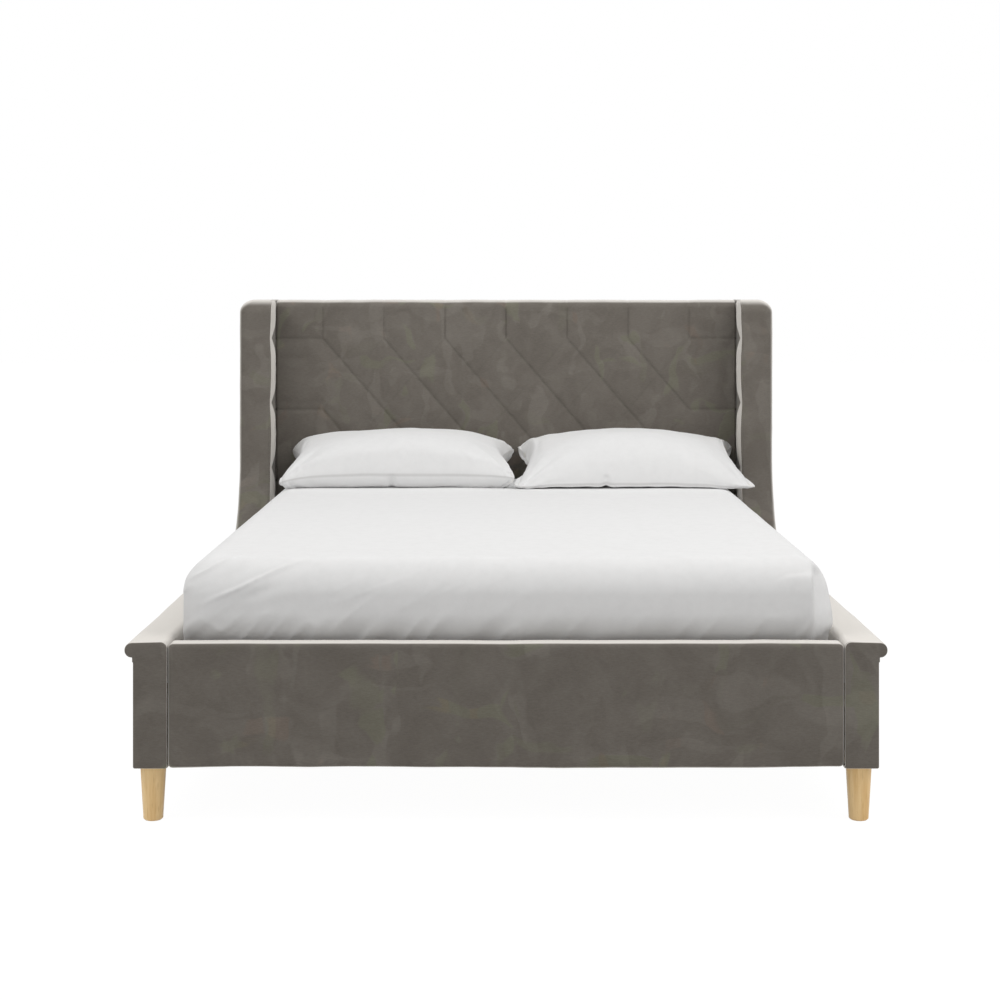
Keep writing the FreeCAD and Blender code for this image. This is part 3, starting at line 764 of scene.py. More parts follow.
def new_material(name: str) -> tuple[Material, Graph, Node, Node]:
    """Starts a material.

    Args:
        name: name of the material.

    Returns:
        The material, a graph on it, its Principled node and its Object coordinates' node.
    """
    material = bpy.data.materials.new(name)
    material.use_nodes = True
    graph = Graph(material.node_tree)
    shader = material.node_tree.nodes["Principled BSDF"]
    return material, graph, shader, graph.add("ShaderNodeTexCoord")


# ---- finishes
@dataclass(frozen=True)
class Velvet:
    """Cut velvet with a soft nap, brushed one way and the other."""

    name: str = "velvet"
    deep: Colour = (0.149, 0.134, 0.117)
    pale: Colour = (0.208, 0.191, 0.169)
    green: Colour = (0.965, 1.01, 0.915)
    pink: Colour = (1.05, 0.98, 0.95)
    # Painted sheen: the pale colour that the base colour turns to towards glancing views.
    painted_sheen: Colour = (0.81, 0.78, 0.735)
    # Painted shade: the dark colour laid into creases and recesses through the seam attribute.
    painted_shade: Colour = (0.045, 0.041, 0.035)
    patch: float = 0.070
    pile_depth: float = 0.0008

    def material(self, groups: Groups) -> Material:
        """Principled with strong sheen, toned by the nap, with painted sheen and painted shade in
        its base colour.

        Args:
            groups: the shared shader groups.

        Returns:
            The material.
        """
        material, graph, shader, places = new_material(self.name)
        nap = graph.place(groups.nap, Vector=places.outputs["Object"], Patch=self.patch)
        base = graph.blend(nap.outputs["Shade"], self.deep, self.pale)
        base = graph.blend(nap.outputs["Green"], base,
                           graph.blend(1.0, base, self.green, "MULTIPLY"))
        base = graph.blend(nap.outputs["Pink"], base,
                           graph.blend(1.0, base, self.pink, "MULTIPLY"))
        pile = graph.ramp(nap.outputs["Fuzz"], 0.3, 0.7, 0.90, 1.10)
        base = graph.scaled(base, pile)
        # Painted shade: where the seam attribute is set, the base colour is painted towards a dark
        # colour.
        seam = graph.add("ShaderNodeAttribute", {"attribute_name": "seam"})
        base = graph.blend(graph.calc("MULTIPLY", seam.outputs["Fac"], 0.38), base,
                           self.painted_shade)
        # Painted sheen: towards glancing views the base colour is painted pale, much less so where
        # there is painted shade.
        glance = graph.add("ShaderNodeLayerWeight", Blend=0.5)
        sheen = graph.ramp(glance.outputs["Facing"], 0.24, 0.85)
        sheen = graph.calc("MULTIPLY", sheen, graph.ramp(seam.outputs["Fac"], 0.0, 0.5, 1.0, 0.06))
        graph.fill(shader, Base_Color=graph.blend(sheen, base, self.painted_sheen),
                   Roughness=graph.ramp(nap.outputs["Shade"], 0.0, 1.0, 0.95, 0.85),
                   Specular_IOR_Level=0.1, Sheen_Weight=0.18, Sheen_Roughness=0.28,
                   Sheen_Tint=(1.0, 0.985, 0.96),
                   Normal=graph.relief(nap.outputs["Fuzz"], 0.25, self.pile_depth))
        return material


@dataclass(frozen=True)
class Cotton:
    """Plain-woven cotton."""

    name: str
    colour: Colour
    shade: Colour
    # Painted shade along pillow seams and the sheet's pleat; on the mattress, the tape's own darker
    # colour.
    crease: Colour = (0.42, 0.41, 0.40)
    thread: float = 0.0006
    weave_depth: float = 0.00006

    def material(self, groups: Groups) -> Material:
        """Matte cloth with a weave too fine to see far off and faint slubs; the seam attribute
        blends in painted shade along seams and the pleat, and the mattress tape's own darker
        colour.

        Args:
            groups: the shared shader groups.

        Returns:
            The material.
        """
        material, graph, shader, places = new_material(self.name)
        weave = graph.place(groups.weave, Vector=places.outputs["Object"], Thread=self.thread)
        base = graph.blend(graph.ramp(weave.outputs["Slub"], 0.35, 0.75), self.colour, self.shade)
        seam = graph.add("ShaderNodeAttribute", {"attribute_name": "seam"})
        base = graph.blend(graph.calc("MULTIPLY", seam.outputs["Fac"], 0.45), base, self.crease)
        graph.fill(shader, Base_Color=base,
                   Roughness=graph.ramp(weave.outputs["Slub"], 0.3, 0.7, 0.82, 0.92),
                   Specular_IOR_Level=0.2, Sheen_Weight=0.12, Sheen_Roughness=0.5,
                   Normal=graph.relief(weave.outputs["Height"], 0.5, self.weave_depth))
        return material


@dataclass(frozen=True)
class Timber:
    """Sawn, planed or lacquered wood."""

    name: str
    early: Colour
    late: Colour
    lines: float = 55.0
    roughness: float = 0.55
    grain: Grain = Grain.UPRIGHT
    pore: Colour = (0.72, 0.64, 0.55)
    pore_depth: float = 0.0003

    def material(self, groups: Groups) -> Material:
        """Principled wood with bands and pores along the grain.

        Args:
            groups: the shared shader groups.

        Returns:
            The material.
        """
        material, graph, shader, places = new_material(self.name)
        along = graph.vector("MULTIPLY", places.outputs["Object"], self.grain.value)
        wood = graph.place(groups.grain, Vector=along, Lines=self.lines)
        base = graph.blend(wood.outputs["Bands"], self.early, self.late)
        dark = graph.blend(1.0, base, self.pore, "MULTIPLY")
        base = graph.blend(graph.calc("MULTIPLY", wood.outputs["Pores"], 0.5), base, dark)
        graph.fill(shader, Base_Color=base, Specular_IOR_Level=0.35,
                   Roughness=graph.ramp(wood.outputs["Bands"], 0.0, 1.0, self.roughness,
                                        self.roughness + 0.12),
                   Normal=graph.relief(wood.outputs["Pores"], 0.25, self.pore_depth, True))
        return material


@dataclass(frozen=True)
class Metal:
    """Powder-coated or zinc-plated steel."""

    name: str
    colour: Colour
    bare: float
    roughness: float
    grit: float = 900.0
    grit_depth: float = 0.0001

    def material(self, groups: Groups) -> Material:
        """Principled metal whose roughness and relief vary in fine grit.

        Args:
            groups: the shared shader groups, of which metal needs none.

        Returns:
            The material.
        """
        material, graph, shader, places = new_material(self.name)
        grit = graph.add("ShaderNodeTexNoise", Vector=places.outputs["Object"], Scale=self.grit,
                         Detail=3.0)
        tone = graph.blend(grit.outputs["Fac"], self.colour,
                           tuple(min(1.0, part * 1.25) for part in self.colour))
        graph.fill(shader, Base_Color=tone, Metallic=self.bare,
                   Roughness=graph.ramp(grit.outputs["Fac"], 0.3, 0.7, self.roughness,
                                        self.roughness + 0.12),
                   Normal=graph.relief(grit.outputs["Fac"], 0.2, self.grit_depth))
        return material


# ---- headboard
@dataclass
class Headboard:
    """Diamond-tufted pad turned over the top of the headboard, and the cloth on its back.

    The dome is the depth and the height of the turn over the top. The back's parts are its
    columns and rows of faces.
    """

    velvet: Material
    column_pitch: float = 0.212
    row_pitch: float = 0.1233
    first_row: float = 0.133
    columns: int = 7
    rows: int = 5
    edge_radius: float = 0.022
    back_radius: float = 0.012
    side_radius: float = 0.008
    dome: Pair = (0.032, 0.012)
    dome_radius: float = 0.060
    top_softening: float = 0.75
    softening_reach: float = 0.03
    hem_start: float = 0.03
    hem_end: float = 0.005
    swell_height: float = 0.0012
    swell_cells: float = 9.0
    crease_shade: float = 0.8
    crease_depth: float = 0.0026
    crease_width: float = 0.0024
    cushion_depth: float = 0.0042
    cushion_reach: float = 0.060
    slack_share: float = 0.28
    step: float = 0.004
    back_parts: tuple[int, int] = (160, 106)
    pull_reach: float = 0.05
    tack_radius: float = 0.003
    low: Vector = field(init=False)
    high: Vector = field(init=False)

    def __post_init__(self) -> None:
        """Reads the pad's place from the frame."""
        self.low, self.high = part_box("headboard_tufted_pad")

    def seams(self) -> tuple[list[Seam], list[Seam]]:
        """Seam lines as (x, height up the cloth) pairs.

        Returns:
            The tight seams (uprights, side lines and diagonals that fall to the right) and the
            slacker ones (diagonals that fall to the left).
        """
        top = self.high.z - self.first_row
        edge = (self.columns - 1) / 2.0 * self.column_pitch
        bottom = top - self.rows * self.row_pitch
        slope = self.row_pitch / (self.column_pitch / 2.0)
        found: list[Seam] = []
        starts = [(-edge + i * self.column_pitch, top) for i in range(self.columns)]
        found += [((x, top), (x, self.high.z + 0.2)) for x, _ in starts]
        side_rows = [top - row * self.row_pitch for row in range(0, self.rows, 2)]
        for sign in (-1.0, 1.0):
            found += [((sign * edge, z), (sign * self.high.x, z)) for z in side_rows]
        starts = starts[:-1] + [(-edge, z) for z in side_rows[1:]]
        slack: list[Seam] = []
        for x, z in starts:
            fall = min(z - bottom, (edge - x) * slope)
            found.append(((x, z), (x + fall / slope, z - fall)))
            slack.append(((-x, z), (-x - fall / slope, z - fall)))
        return found, slack

    def pad(self) -> None:
        """The tufted pad: its section carried across the bed.

        Each point of the section sinks by a sharp crease, depth * exp(-d / width), and by a
        wide roll, depth * (1 - d / reach)^2, where d is the distance to the nearest seam.
        """
        board_low, board_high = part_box("headboard_face_board")
        front, back = self.low.y, self.high.y
        outer = rounded_path([
            (front, self.low.z, 0.0),
            (front, self.high.z - self.dome[1], self.edge_radius),
            (front + self.dome[0], self.high.z, self.dome_radius),
            (back, self.high.z, self.back_radius),
            (back, board_high.z, 0.0),
        ], self.step, closed=False)
        climb = self.low.z + arc_lengths(outer)
        normals = -path_normals(outer, closed=False)
        turn = self.high.z - self.edge_radius
        columns = math.ceil((self.high.x - self.low.x) / self.step)
        x = np.linspace(self.low.x, self.high.x, columns + 1)[None, :]
        height = climb[:, None]
        tight, slack = [seam_distance(x, height, lines) for lines in self.seams()]
        crease = np.maximum(np.exp(-tight / self.crease_width),
                            self.slack_share * np.exp(-slack / self.crease_width))
        roll = np.maximum(np.clip(1.0 - tight / self.cushion_reach, 0.0, 1.0) ** 2,
                          self.slack_share
                          * np.clip(1.0 - slack / self.cushion_reach, 0.0, 1.0) ** 2)
        drop = self.crease_depth * crease + self.cushion_depth * roll
        fade = 1.0 - self.top_softening * smooth_step(height, turn - self.softening_reach,
                                                      turn + self.softening_reach)
        drop = drop * np.where(height > self.high.z - self.first_row, fade, 1.0)
        drop = drop * (1.0 - smooth_step(height, climb[-1] - self.hem_start,
                                         climb[-1] - self.hem_end))
        side = np.minimum(x - self.low.x, self.high.x - x)
        drop = drop + edge_roll(side, self.side_radius) * smooth_step(
            height, self.low.z, self.low.z + 0.01)
        drop = drop - self.swell_height * layered_noise(
            x * self.swell_cells, height * self.swell_cells, 11)
        shift = normals[:, None, :] * -drop[:, :, None]
        points = grid_of(x, outer[:, :1] + shift[:, :, 0], outer[:, 1:] + shift[:, :, 1])
        inner = grid_of(x, np.clip(outer[:, :1], board_low.y, None),
                        np.minimum(outer[:, 1:], board_high.z))
        # Painted shade along the creases, fading out over the top turn, stored in the seam
        # attribute.
        painted_shade = self.crease_shade * crease * (
            1.0 - smooth_step(height, turn - 0.012, turn + 0.004))
        shell = Shell()
        shell.skin_pair(points, inner, grid_of(x, height), painted_shade)
        piece = shell.piece("headboard_tufted_cover", 60.0)
        seat(piece, "bed_frame", self.velvet, "headboard_tufted_pad")

    def back(self) -> None:
        """Cloth tacked over the back: flat, with shallow pulls along its edges."""
        low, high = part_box("headboard_back_panel")
        columns, rows = self.back_parts
        x = np.linspace(low.x, high.x, columns + 1)[None, :]
        z = np.linspace(low.z, high.z, rows + 1)[:, None]
        edge = np.minimum(np.minimum(x - low.x, high.x - x), np.minimum(z - low.z, high.z - z))
        pulls = 0.0006 * layered_noise(x * 26.0, z * 26.0, 23) * np.exp(-edge / self.pull_reach)
        sag = 0.0008 * layered_noise(x * 3.0, z * 3.0, 29)
        depth = high.y - edge_roll(edge, self.tack_radius) + pulls + sag
        shell = Shell()
        shell.skin_pair(grid_of(x, depth, z), grid_of(x, np.array(low.y), z), grid_of(x, z))
        piece = shell.piece("headboard_back_cloth")
        seat(piece, "bed_frame", self.velvet, "headboard_back_panel")

    def build(self) -> None:
        """Makes the pad and the cloth on the back."""
        self.pad()
        self.back()


# ---- wings
@dataclass
class Wing:
    """One wing: its padded cover with a rolled edge, and its tufted inner panel.

    The parts are the points along a section's inner lip, front face, each corner, flank and
    back. The front roll is its depth and height. The panel's swells are their height and their
    cells per metre, and its valley is how full it is between two scallops.
    """

    side: Side
    velvet: Material
    depth: float = 0.149
    parts: tuple[int, ...] = (5, 22, 7, 44, 14)
    row_step: float = 0.0065
    dome_rows: int = 16
    closing_rows: int = 8
    lip_radius: float = 0.006
    back_radius: float = 0.006
    shoulder_radius: float = 0.030
    sweep_radius: float = 0.330
    sweep_angle: float = math.radians(45.0)
    top_radius: float = 0.045
    front_roll: Pair = (0.070, 0.045)
    edge_radius: float = 0.022
    core_radius: float = 0.002
    front_pad: float = 0.020
    side_pad: float = 0.018
    lining: float = 0.005
    crown: float = 0.0025
    crown_reach: float = 0.02
    front_swells: float = 0.0008
    side_swells: float = 0.0009
    swell_cells: float = 11.0
    panel_step: float = 0.004
    panel_columns: int = 48
    panel_crowding: float = 1.15
    panel_roll: float = 0.012
    valley: float = 0.22
    thinning: float = 0.85
    panel_swells: Pair = (0.0006, 14.0)
    crease_width: float = 0.004
    crease_depth: float = 0.0025
    cushion_reach: float = 0.055
    cushion_depth: float = 0.004
    least_rise: float = 0.0009
    row_pitch: float = 0.110
    first_row: float = 0.131
    hem: float = 0.022
    low: Vector = field(init=False)
    high: Vector = field(init=False)
    rail_top: float = field(init=False)
    front: float = field(init=False)
    inner: float = field(init=False)
    outer: float = field(init=False)

    def __post_init__(self) -> None:
        """Reads the wing's place from the frame."""
        self.low, self.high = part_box(self.side.node("wing_cover"))
        self.rail_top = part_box(self.side.node("rail_cover"))[1].z
        self.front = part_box("headboard_tufted_pad")[0].y - self.depth
        self.inner = min(abs(self.low.x), abs(self.high.x))
        self.outer = max(abs(self.low.x), abs(self.high.x))

    def front_line(self, z: Array, inset: float = 0.0) -> Array:
        """Place of the front edge at each height: toe, hollow sweep, straight and rounded top.

        The toe is a circle seen from inside, y = c - sqrt(r^2 - h^2), the sweep one seen from
        outside, y = c + sqrt(r^2 - h^2), and the top rolls back as a quarter of an ellipse,
        by depth * (1 - sqrt(1 - t^2)), t growing from nothing to one over the roll's height.

        Args:
            z: the heights.
            inset: how far it lies behind the edge.

        Returns:
            Its Y at each height.
        """
        reach = self.sweep_radius + self.shoulder_radius
        centre_y = self.front - self.sweep_radius
        centre_z = self.rail_top + reach * math.sin(self.sweep_angle)
        shoulder = centre_y + reach * math.cos(self.sweep_angle)
        joint = self.rail_top + self.shoulder_radius * math.sin(self.sweep_angle)
        above = np.clip(z - self.rail_top, 0.0, self.shoulder_radius)
        toe = shoulder - np.sqrt(self.shoulder_radius**2 - above**2)
        below = np.clip(centre_z - z, 0.0, self.sweep_radius)
        sweep = centre_y + np.sqrt(self.sweep_radius**2 - below**2)
        line = np.where(z < joint, toe, sweep)
        depth, height = self.front_roll
        rolled = np.clip(1.0 - (self.high.z - z) / height, 0.0, 1.0)
        return line + depth * (1.0 - np.sqrt(1.0 - rolled**2)) + inset

    def section(self, z: Array, pads: Triple, radius: float, shrink: Array) -> Array:
        """Plan sections of the wing at many heights: front face, outer face and back face.

        Args:
            z: heights, one row each.
            pads: inset of the front, the outer side and the back.
            radius: of the two outer edges.
            shrink: how far each row has closed in on the inner face, 0 to 1.

        Returns:
            Points of shape (rows, columns, 3), on the right-hand side.
        """
        front_in, side_in, back_in = pads
        above = self.high.z - z
        front = self.front_line(z, front_in)[:, None]
        side = self.outer - side_in - edge_roll(above, self.top_radius)[:, None]
        back = self.high.y - back_in - edge_roll(above, self.back_radius)[:, None]
        small = self.lip_radius
        lip = small * (1.0 - np.linspace(0.0, 1.0, self.parts[0]))[:-1]
        face = np.linspace(0.0, 1.0, self.parts[1])
        angle = np.linspace(0.0, math.pi / 2.0, self.parts[2])[1:]
        flank, rear = [np.linspace(0.0, 1.0, parts)[1:] for parts in self.parts[3:]]
        runs = [
            (self.inner + small - np.sqrt(small**2 - lip**2),
             front + small - np.sqrt(small**2 - (small - lip) ** 2)),
            (self.inner + small + (side - radius - self.inner - small) * face, front),
            (side - radius + radius * np.sin(angle), front + radius - radius * np.cos(angle)),
            (side, front + radius + (back - front - 2.0 * radius) * flank),
            (side - radius + radius * np.cos(angle), back - radius + radius * np.sin(angle)),
            (side - radius - (side - radius - self.inner) * rear, back),
        ]
        plan = np.concatenate([grid_of(*run) for run in runs], axis=1)
        x = self.inner + (plan[:, :, 0] - self.inner) * (1.0 - shrink[:, None])
        return grid_of(x, plan[:, :, 1], z[:, None])

    def heights(self) -> tuple[Array, Array]:
        """Heights of the rows and how far each has closed in over the top.

        Returns:
            The heights, and from 0 to 1 how far each has closed in.
        """
        straight = np.arange(self.low.z, self.high.z - self.top_radius, self.row_step)
        turn = np.linspace(0.0, math.pi / 2.0, self.dome_rows)
        dome = self.high.z - self.top_radius + self.top_radius * np.sin(turn)
        closing = np.linspace(0.0, 1.0, self.closing_rows + 1)[1:]
        rows = np.concatenate([straight, dome, np.full(len(closing), self.high.z)])
        shrink = np.concatenate([np.zeros(len(rows) - len(closing)), closing])
        return rows, shrink

    def cover(self) -> None:
        """Padded cover: the outer sections bulge by a low crown, the inner ones lie on the core."""
        z, shrink = self.heights()
        outer = self.section(z, (0.0, 0.0, 0.0), self.edge_radius, shrink)
        span = self.high.z - self.low.z
        sunk = self.low.z + self.lining + (z - self.low.z) * (
            span - self.lining - self.front_pad) / span
        inner = self.section(sunk, (self.front_pad, self.side_pad, self.lining),
                             self.core_radius, shrink)
        share = np.clip((outer[:, :, 0] - self.inner) / (self.outer - self.inner), 0.0, 1.0)
        x, y, height = coordinates(outer)
        near_front = np.exp(-((y - self.front_line(z)[:, None]) / self.crown_reach) ** 2)
        crown = self.crown * 4.0 * share * (1.0 - share) * near_front
        rough = layered_noise(height * self.swell_cells, (x + y) * self.swell_cells,
                              31 + int(self.side is Side.RIGHT))
        y -= (crown + self.front_swells * rough * near_front) * (1.0 - shrink[:, None])
        flank = smooth_step(x, self.outer - 0.004, self.outer)
        x += self.side_swells * rough * flank
        for grid in (outer, inner):
            grid[:, :, 0] *= self.side.sign
        shell = Shell()
        shell.skin_pair(outer, inner, grid_of(x + y, height))
        piece = shell.piece(self.side.node("wing_upholstery"))
        seat(piece, "bed_frame", self.velvet, self.side.node("wing_cover"))

    def panel_seams(self) -> list[Seam]:
        """Crossing seams of the inner panel as (y, z) pairs.

        Returns:
            Both ends of each seam.
        """
        first = self.high.z - self.first_row
        near, far = self.front, self.front + self.depth
        fall = 2.0 * self.row_pitch
        tops = np.arange(first + fall, self.rail_top, -fall)
        seams: list[Seam] = [((near, z), (far, z - fall)) for z in tops]
        return seams + [((near, z - fall), (far, z)) for z in tops]

    def panel(self) -> None:
        """Tufted inner panel: it swells in from its front edge, and thins towards the back.

        Its thin hem goes on behind the side of the headboard pad, over the bare core.
        """
        low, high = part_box(self.side.node("wing_tufted_pad"))
        thick = high.x - low.x
        z = np.arange(low.z, high.z + self.panel_step / 2.0, self.panel_step)[:, None]
        start = self.front_line(z, 0.002)
        share = np.linspace(0.0, 1.0, self.panel_columns)[None, :] ** self.panel_crowding
        y = start + (high.y + self.hem - start) * share
        distance = seam_distance(y, z, self.panel_seams())
        crease = np.exp(-distance / self.crease_width)
        roll = np.clip(1.0 - distance / self.cushion_reach, 0.0, 1.0) ** 1.6
        first = high.z + 0.002 - self.first_row
        scallop = np.abs(np.sin((first - z) / (2.0 * self.row_pitch) * math.pi))
        swell_in = smooth_step(y - start, -0.045, 0.070)
        full = (thick - 0.001) * swell_in * (self.valley + (1.0 - self.valley) * scallop)
        full = full * (1.0 - self.thinning * smooth_step(y, self.front + 0.08, high.y - 0.010))
        inside = smooth_step(y - start, 0.020, 0.110)
        rise = full - edge_roll(high.z - z, self.panel_roll) - self.crease_depth * crease * inside
        rise = rise - self.cushion_depth * roll * inside * full / thick
        swells, cells = self.panel_swells
        rise = rise + swells * layered_noise(y * cells, z * cells, 41)
        rise = rise * (1.0 - smooth_step(y, high.y - 0.012, high.y))
        rise = np.clip(rise, self.least_rise, None)
        # Painted shade: the panel is painted darker towards its back, in the recess by the
        # headboard, sooner at the valleys between scallops, and along its creases. Everywhere it
        # gets at least 0.10, which darkens it a little and dulls its painted sheen.
        deep = smooth_step(y - start, 0.028 + 0.072 * scallop, 0.056 + 0.088 * scallop)
        mask = np.maximum(0.10 + 0.4 * crease * inside, 0.95 * deep)
        sign = self.side.sign
        face = grid_of(sign * (self.inner - rise), y, z)
        base = grid_of(np.array(sign * self.inner), y, z)
        shell = Shell()
        shell.skin_pair(face, base, grid_of(y, z), np.broadcast_to(mask, rise.shape))
        piece = shell.piece(self.side.node("wing_tufted_panel"), 60.0)
        seat(piece, "bed_frame", self.velvet, self.side.node("wing_tufted_pad"))

    def build(self) -> None:
        """Makes the cover and the inner panel."""
        self.cover()
        self.panel()


# ---- rails and footboard
@dataclass
class SideRail:
    """One upholstered rail: box, bead and rolled lip, and the flat panel on its foot end.

    The swells' cells are those per metre round the section and along the rail. The end's swells
    are their height and their cells per metre.
    """

    side: Side
    velvet: Material
    corner_radius: float = 0.015
    nose_overhang: float = 0.0195
    nose_height: float = 0.036
    nose_radius: float = 0.0165
    lip_fall: float = 0.0025
    bead_height: float = 0.011
    bead_proud: float = 0.002
    lining: float = 0.005
    bead_radius: float = 0.0008
    bottom_radius: float = 0.004
    step: float = 0.004
    step_along: float = 0.011
    swell_height: float = 0.0009
    swell_cells: Pair = (16.0, 5.0)
    overlap: float = 0.002
    end_roll: float = 0.0028
    end_crown: float = 0.0010
    end_swells: Pair = (0.0004, 24.0)
    low: Vector = field(init=False)
    high: Vector = field(init=False)
    inner: float = field(init=False)
    nose: float = field(init=False)
    outer: float = field(init=False)

    def __post_init__(self) -> None:
        """Reads the rail's place from the frame."""
        self.low, self.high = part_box(self.side.node("rail_cover"))
        self.inner = min(abs(self.low.x), abs(self.high.x))
        self.nose = max(abs(self.low.x), abs(self.high.x))
        self.outer = self.nose - self.nose_overhang

    def corners(self) -> list[Triple]:
        """Section of the rail from the inner top edge, round the lip, to the inner bottom.

        Returns:
            (x, z, radius) of each corner, on the right-hand side.
        """
        nose_bottom = self.high.z - self.nose_height
        bead_bottom = nose_bottom - self.bead_height
        bead = self.outer + self.bead_proud
        return [
            (self.inner, self.high.z, self.corner_radius),
            (self.nose, self.high.z - self.lip_fall, self.nose_radius),
            (self.nose, nose_bottom, self.nose_radius),
            (bead, nose_bottom, 0.0),
            (bead, bead_bottom, self.bead_radius),
            (self.outer, bead_bottom, 0.0),
            (self.outer, self.low.z, self.bottom_radius),
            (self.inner, self.low.z, self.bottom_radius),
        ]

    def cover(self) -> None:
        """Cover of the rail: its section carried along the bed, with slow swells.

        Each point moves along the section's normal by layered noise whose cells are longer
        along the rail than across it, so that the swells run with the pull of the cloth.
        """
        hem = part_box(self.side.node("slat_ledger"))[1].z + self.overlap
        corners = [(self.inner, hem, 0.0)] + self.corners()
        path = rounded_path(corners, self.step, closed=False)
        normals = -path_normals(path, closed=False)
        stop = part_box(self.side.node("wing_cover"))[0].y + self.overlap
        y = np.append(np.arange(self.low.y, stop, self.step_along), stop)[None, :]
        climb = arc_lengths(path)[:, None]
        cells_round, cells_along = self.swell_cells
        lift = self.swell_height * layered_noise(climb * cells_round, y * cells_along,
                                                 51 + int(self.side.sign))
        lift = lift * smooth_step(climb, 0.0, 0.03)
        sign = self.side.sign
        x, z, out_x, out_z = path[:, :1], path[:, 1:], normals[:, :1], normals[:, 1:]
        outer = grid_of(sign * (x + out_x * lift), y, z + out_z * lift)
        inner = grid_of(sign * (x - out_x * self.lining * 0.8), y, z - out_z * self.lining * 0.8)
        shell = Shell()
        shell.skin_pair(outer, inner, grid_of(climb, y))
        piece = shell.piece(self.side.node("rail_upholstery"))
        seat(piece, "bed_frame", self.velvet, self.side.node("rail_cover"))

    def facing(self) -> None:
        """Wrapped panel on the foot end: rings that roll over the edge and close on its middle."""
        low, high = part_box(self.side.node("rail_facing"))
        loop = rounded_path(self.corners(), self.step, closed=True)
        normals = -path_normals(loop, closed=True)
        middle = np.array((self.inner + self.outer) / 2.0)
        spine = grid_of(middle, np.clip(loop[:, 1], low.z + 0.03, high.z - 0.018))
        roll = self.end_roll
        turn = np.linspace(0.0, math.pi / 2.0, 5)
        insets = np.concatenate([[0.0], roll * (1.0 - np.cos(turn))])
        depths = np.concatenate([[high.y], low.y + roll * (1.0 - np.sin(turn))])
        rings = loop[None] - normals[None] * insets[:, None, None]
        last = rings[-1]
        shares = np.linspace(0.0, 1.0, 12)[1:]
        filling = last[None] + (spine - last)[None] * shares[:, None, None]
        flat = np.concatenate([rings, filling])
        crown = self.end_crown * np.sin(np.minimum(shares * 2.0, 1.0) * math.pi / 2.0)
        y = np.concatenate([depths, low.y - crown])
        swells, cells = self.end_swells
        rough = swells * layered_noise(flat[:, :, 0] * cells, flat[:, :, 1] * cells, 61)
        rough[: len(depths)] = 0.0
        sign, back = self.side.sign, np.array(high.y)
        points = np.concatenate([
            grid_of(middle * sign, back, spine[None, :, 1]),
            grid_of(loop[None, :, 0] * sign, back, loop[None, :, 1]),
            grid_of(flat[:, :, 0] * sign, y[:, None] + rough, flat[:, :, 1]),
        ])
        shell = Shell()
        numbers = shell.add(points, points[:, :, ::2])
        shell.span(numbers, close_columns=True)
        piece = shell.piece(self.side.node("rail_end_panel"))
        seat(piece, "bed_frame", self.velvet, self.side.node("rail_facing"))

    def build(self) -> None:
        """Makes the cover and the end panel."""
        self.cover()
        self.facing()


@dataclass
class Footboard:
    """Padded sleeve over the low footboard panel."""

    velvet: Material
    edge_radius: float = 0.009
    end_radius: float = 0.012
    step: float = 0.0065
    columns: int = 200
    swell_height: float = 0.0012
    wave_height: float = 0.0016
    wave_reach: float = 0.05
    cap_depth: float = 0.029

    def build(self) -> None:
        """The sleeve: its section carried across, rolled in at both ends, with slow swells."""
        low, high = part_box("footboard_cover")
        section = rounded_path([
            (low.y, low.z, self.edge_radius),
            (low.y, high.z, self.edge_radius),
            (high.y, high.z, self.edge_radius),
            (high.y, low.z, self.edge_radius),
        ], self.step, closed=True)
        normals = -path_normals(section, closed=True)
        turn = np.linspace(0.0, math.pi / 2.0, 7)[:-1]
        ends = self.end_radius * (1.0 - np.sin(turn))
        left = low.x + self.end_radius - self.end_radius * np.cos(turn)
        middle = np.linspace(low.x + self.end_radius, high.x - self.end_radius, self.columns)
        x = np.concatenate([left, middle, (high.x + low.x) - left[::-1]])
        inset = np.concatenate([ends, np.zeros(len(middle)), ends[::-1]])
        rings = section[None] - normals[None] * inset[:, None, None]
        rough = layered_noise(x[:, None] * 5.0, section[None, :, 1] * 9.0, 71)
        wave = self.wave_height * layered_noise(x[:, None] * 6.0, np.zeros((1, 1)), 77)
        bottom = smooth_step(low.z + self.wave_reach - section[None, :, 1], 0.0, self.wave_reach)
        lift = self.swell_height * rough + wave * bottom
        rings = rings + normals[None] * lift[:, :, None]
        cap = np.linspace(1.0, 0.0, 6)[:-1]
        spine = grid_of(np.array((low.y + high.y) / 2.0),
                        np.clip(section[:, 1], low.z + self.cap_depth, high.z - self.cap_depth))
        first = spine + (rings[0] - spine)[None] * cap[::-1][:, None, None]
        last = spine + (rings[-1] - spine)[None] * cap[:, None, None]
        flat = np.concatenate([spine[None], first[:-1], rings, last[1:], spine[None]])
        steps = np.concatenate([np.full(len(cap), x[0]), x, np.full(len(cap), x[-1])])
        points = grid_of(steps[:, None], flat[:, :, 0], flat[:, :, 1])
        shell = Shell()
        numbers = shell.add(points, points[:, :, ::2])
        shell.span(numbers, close_columns=True)
        piece = shell.piece("footboard_upholstery")
        seat(piece, "bed_frame", self.velvet, "footboard_cover")


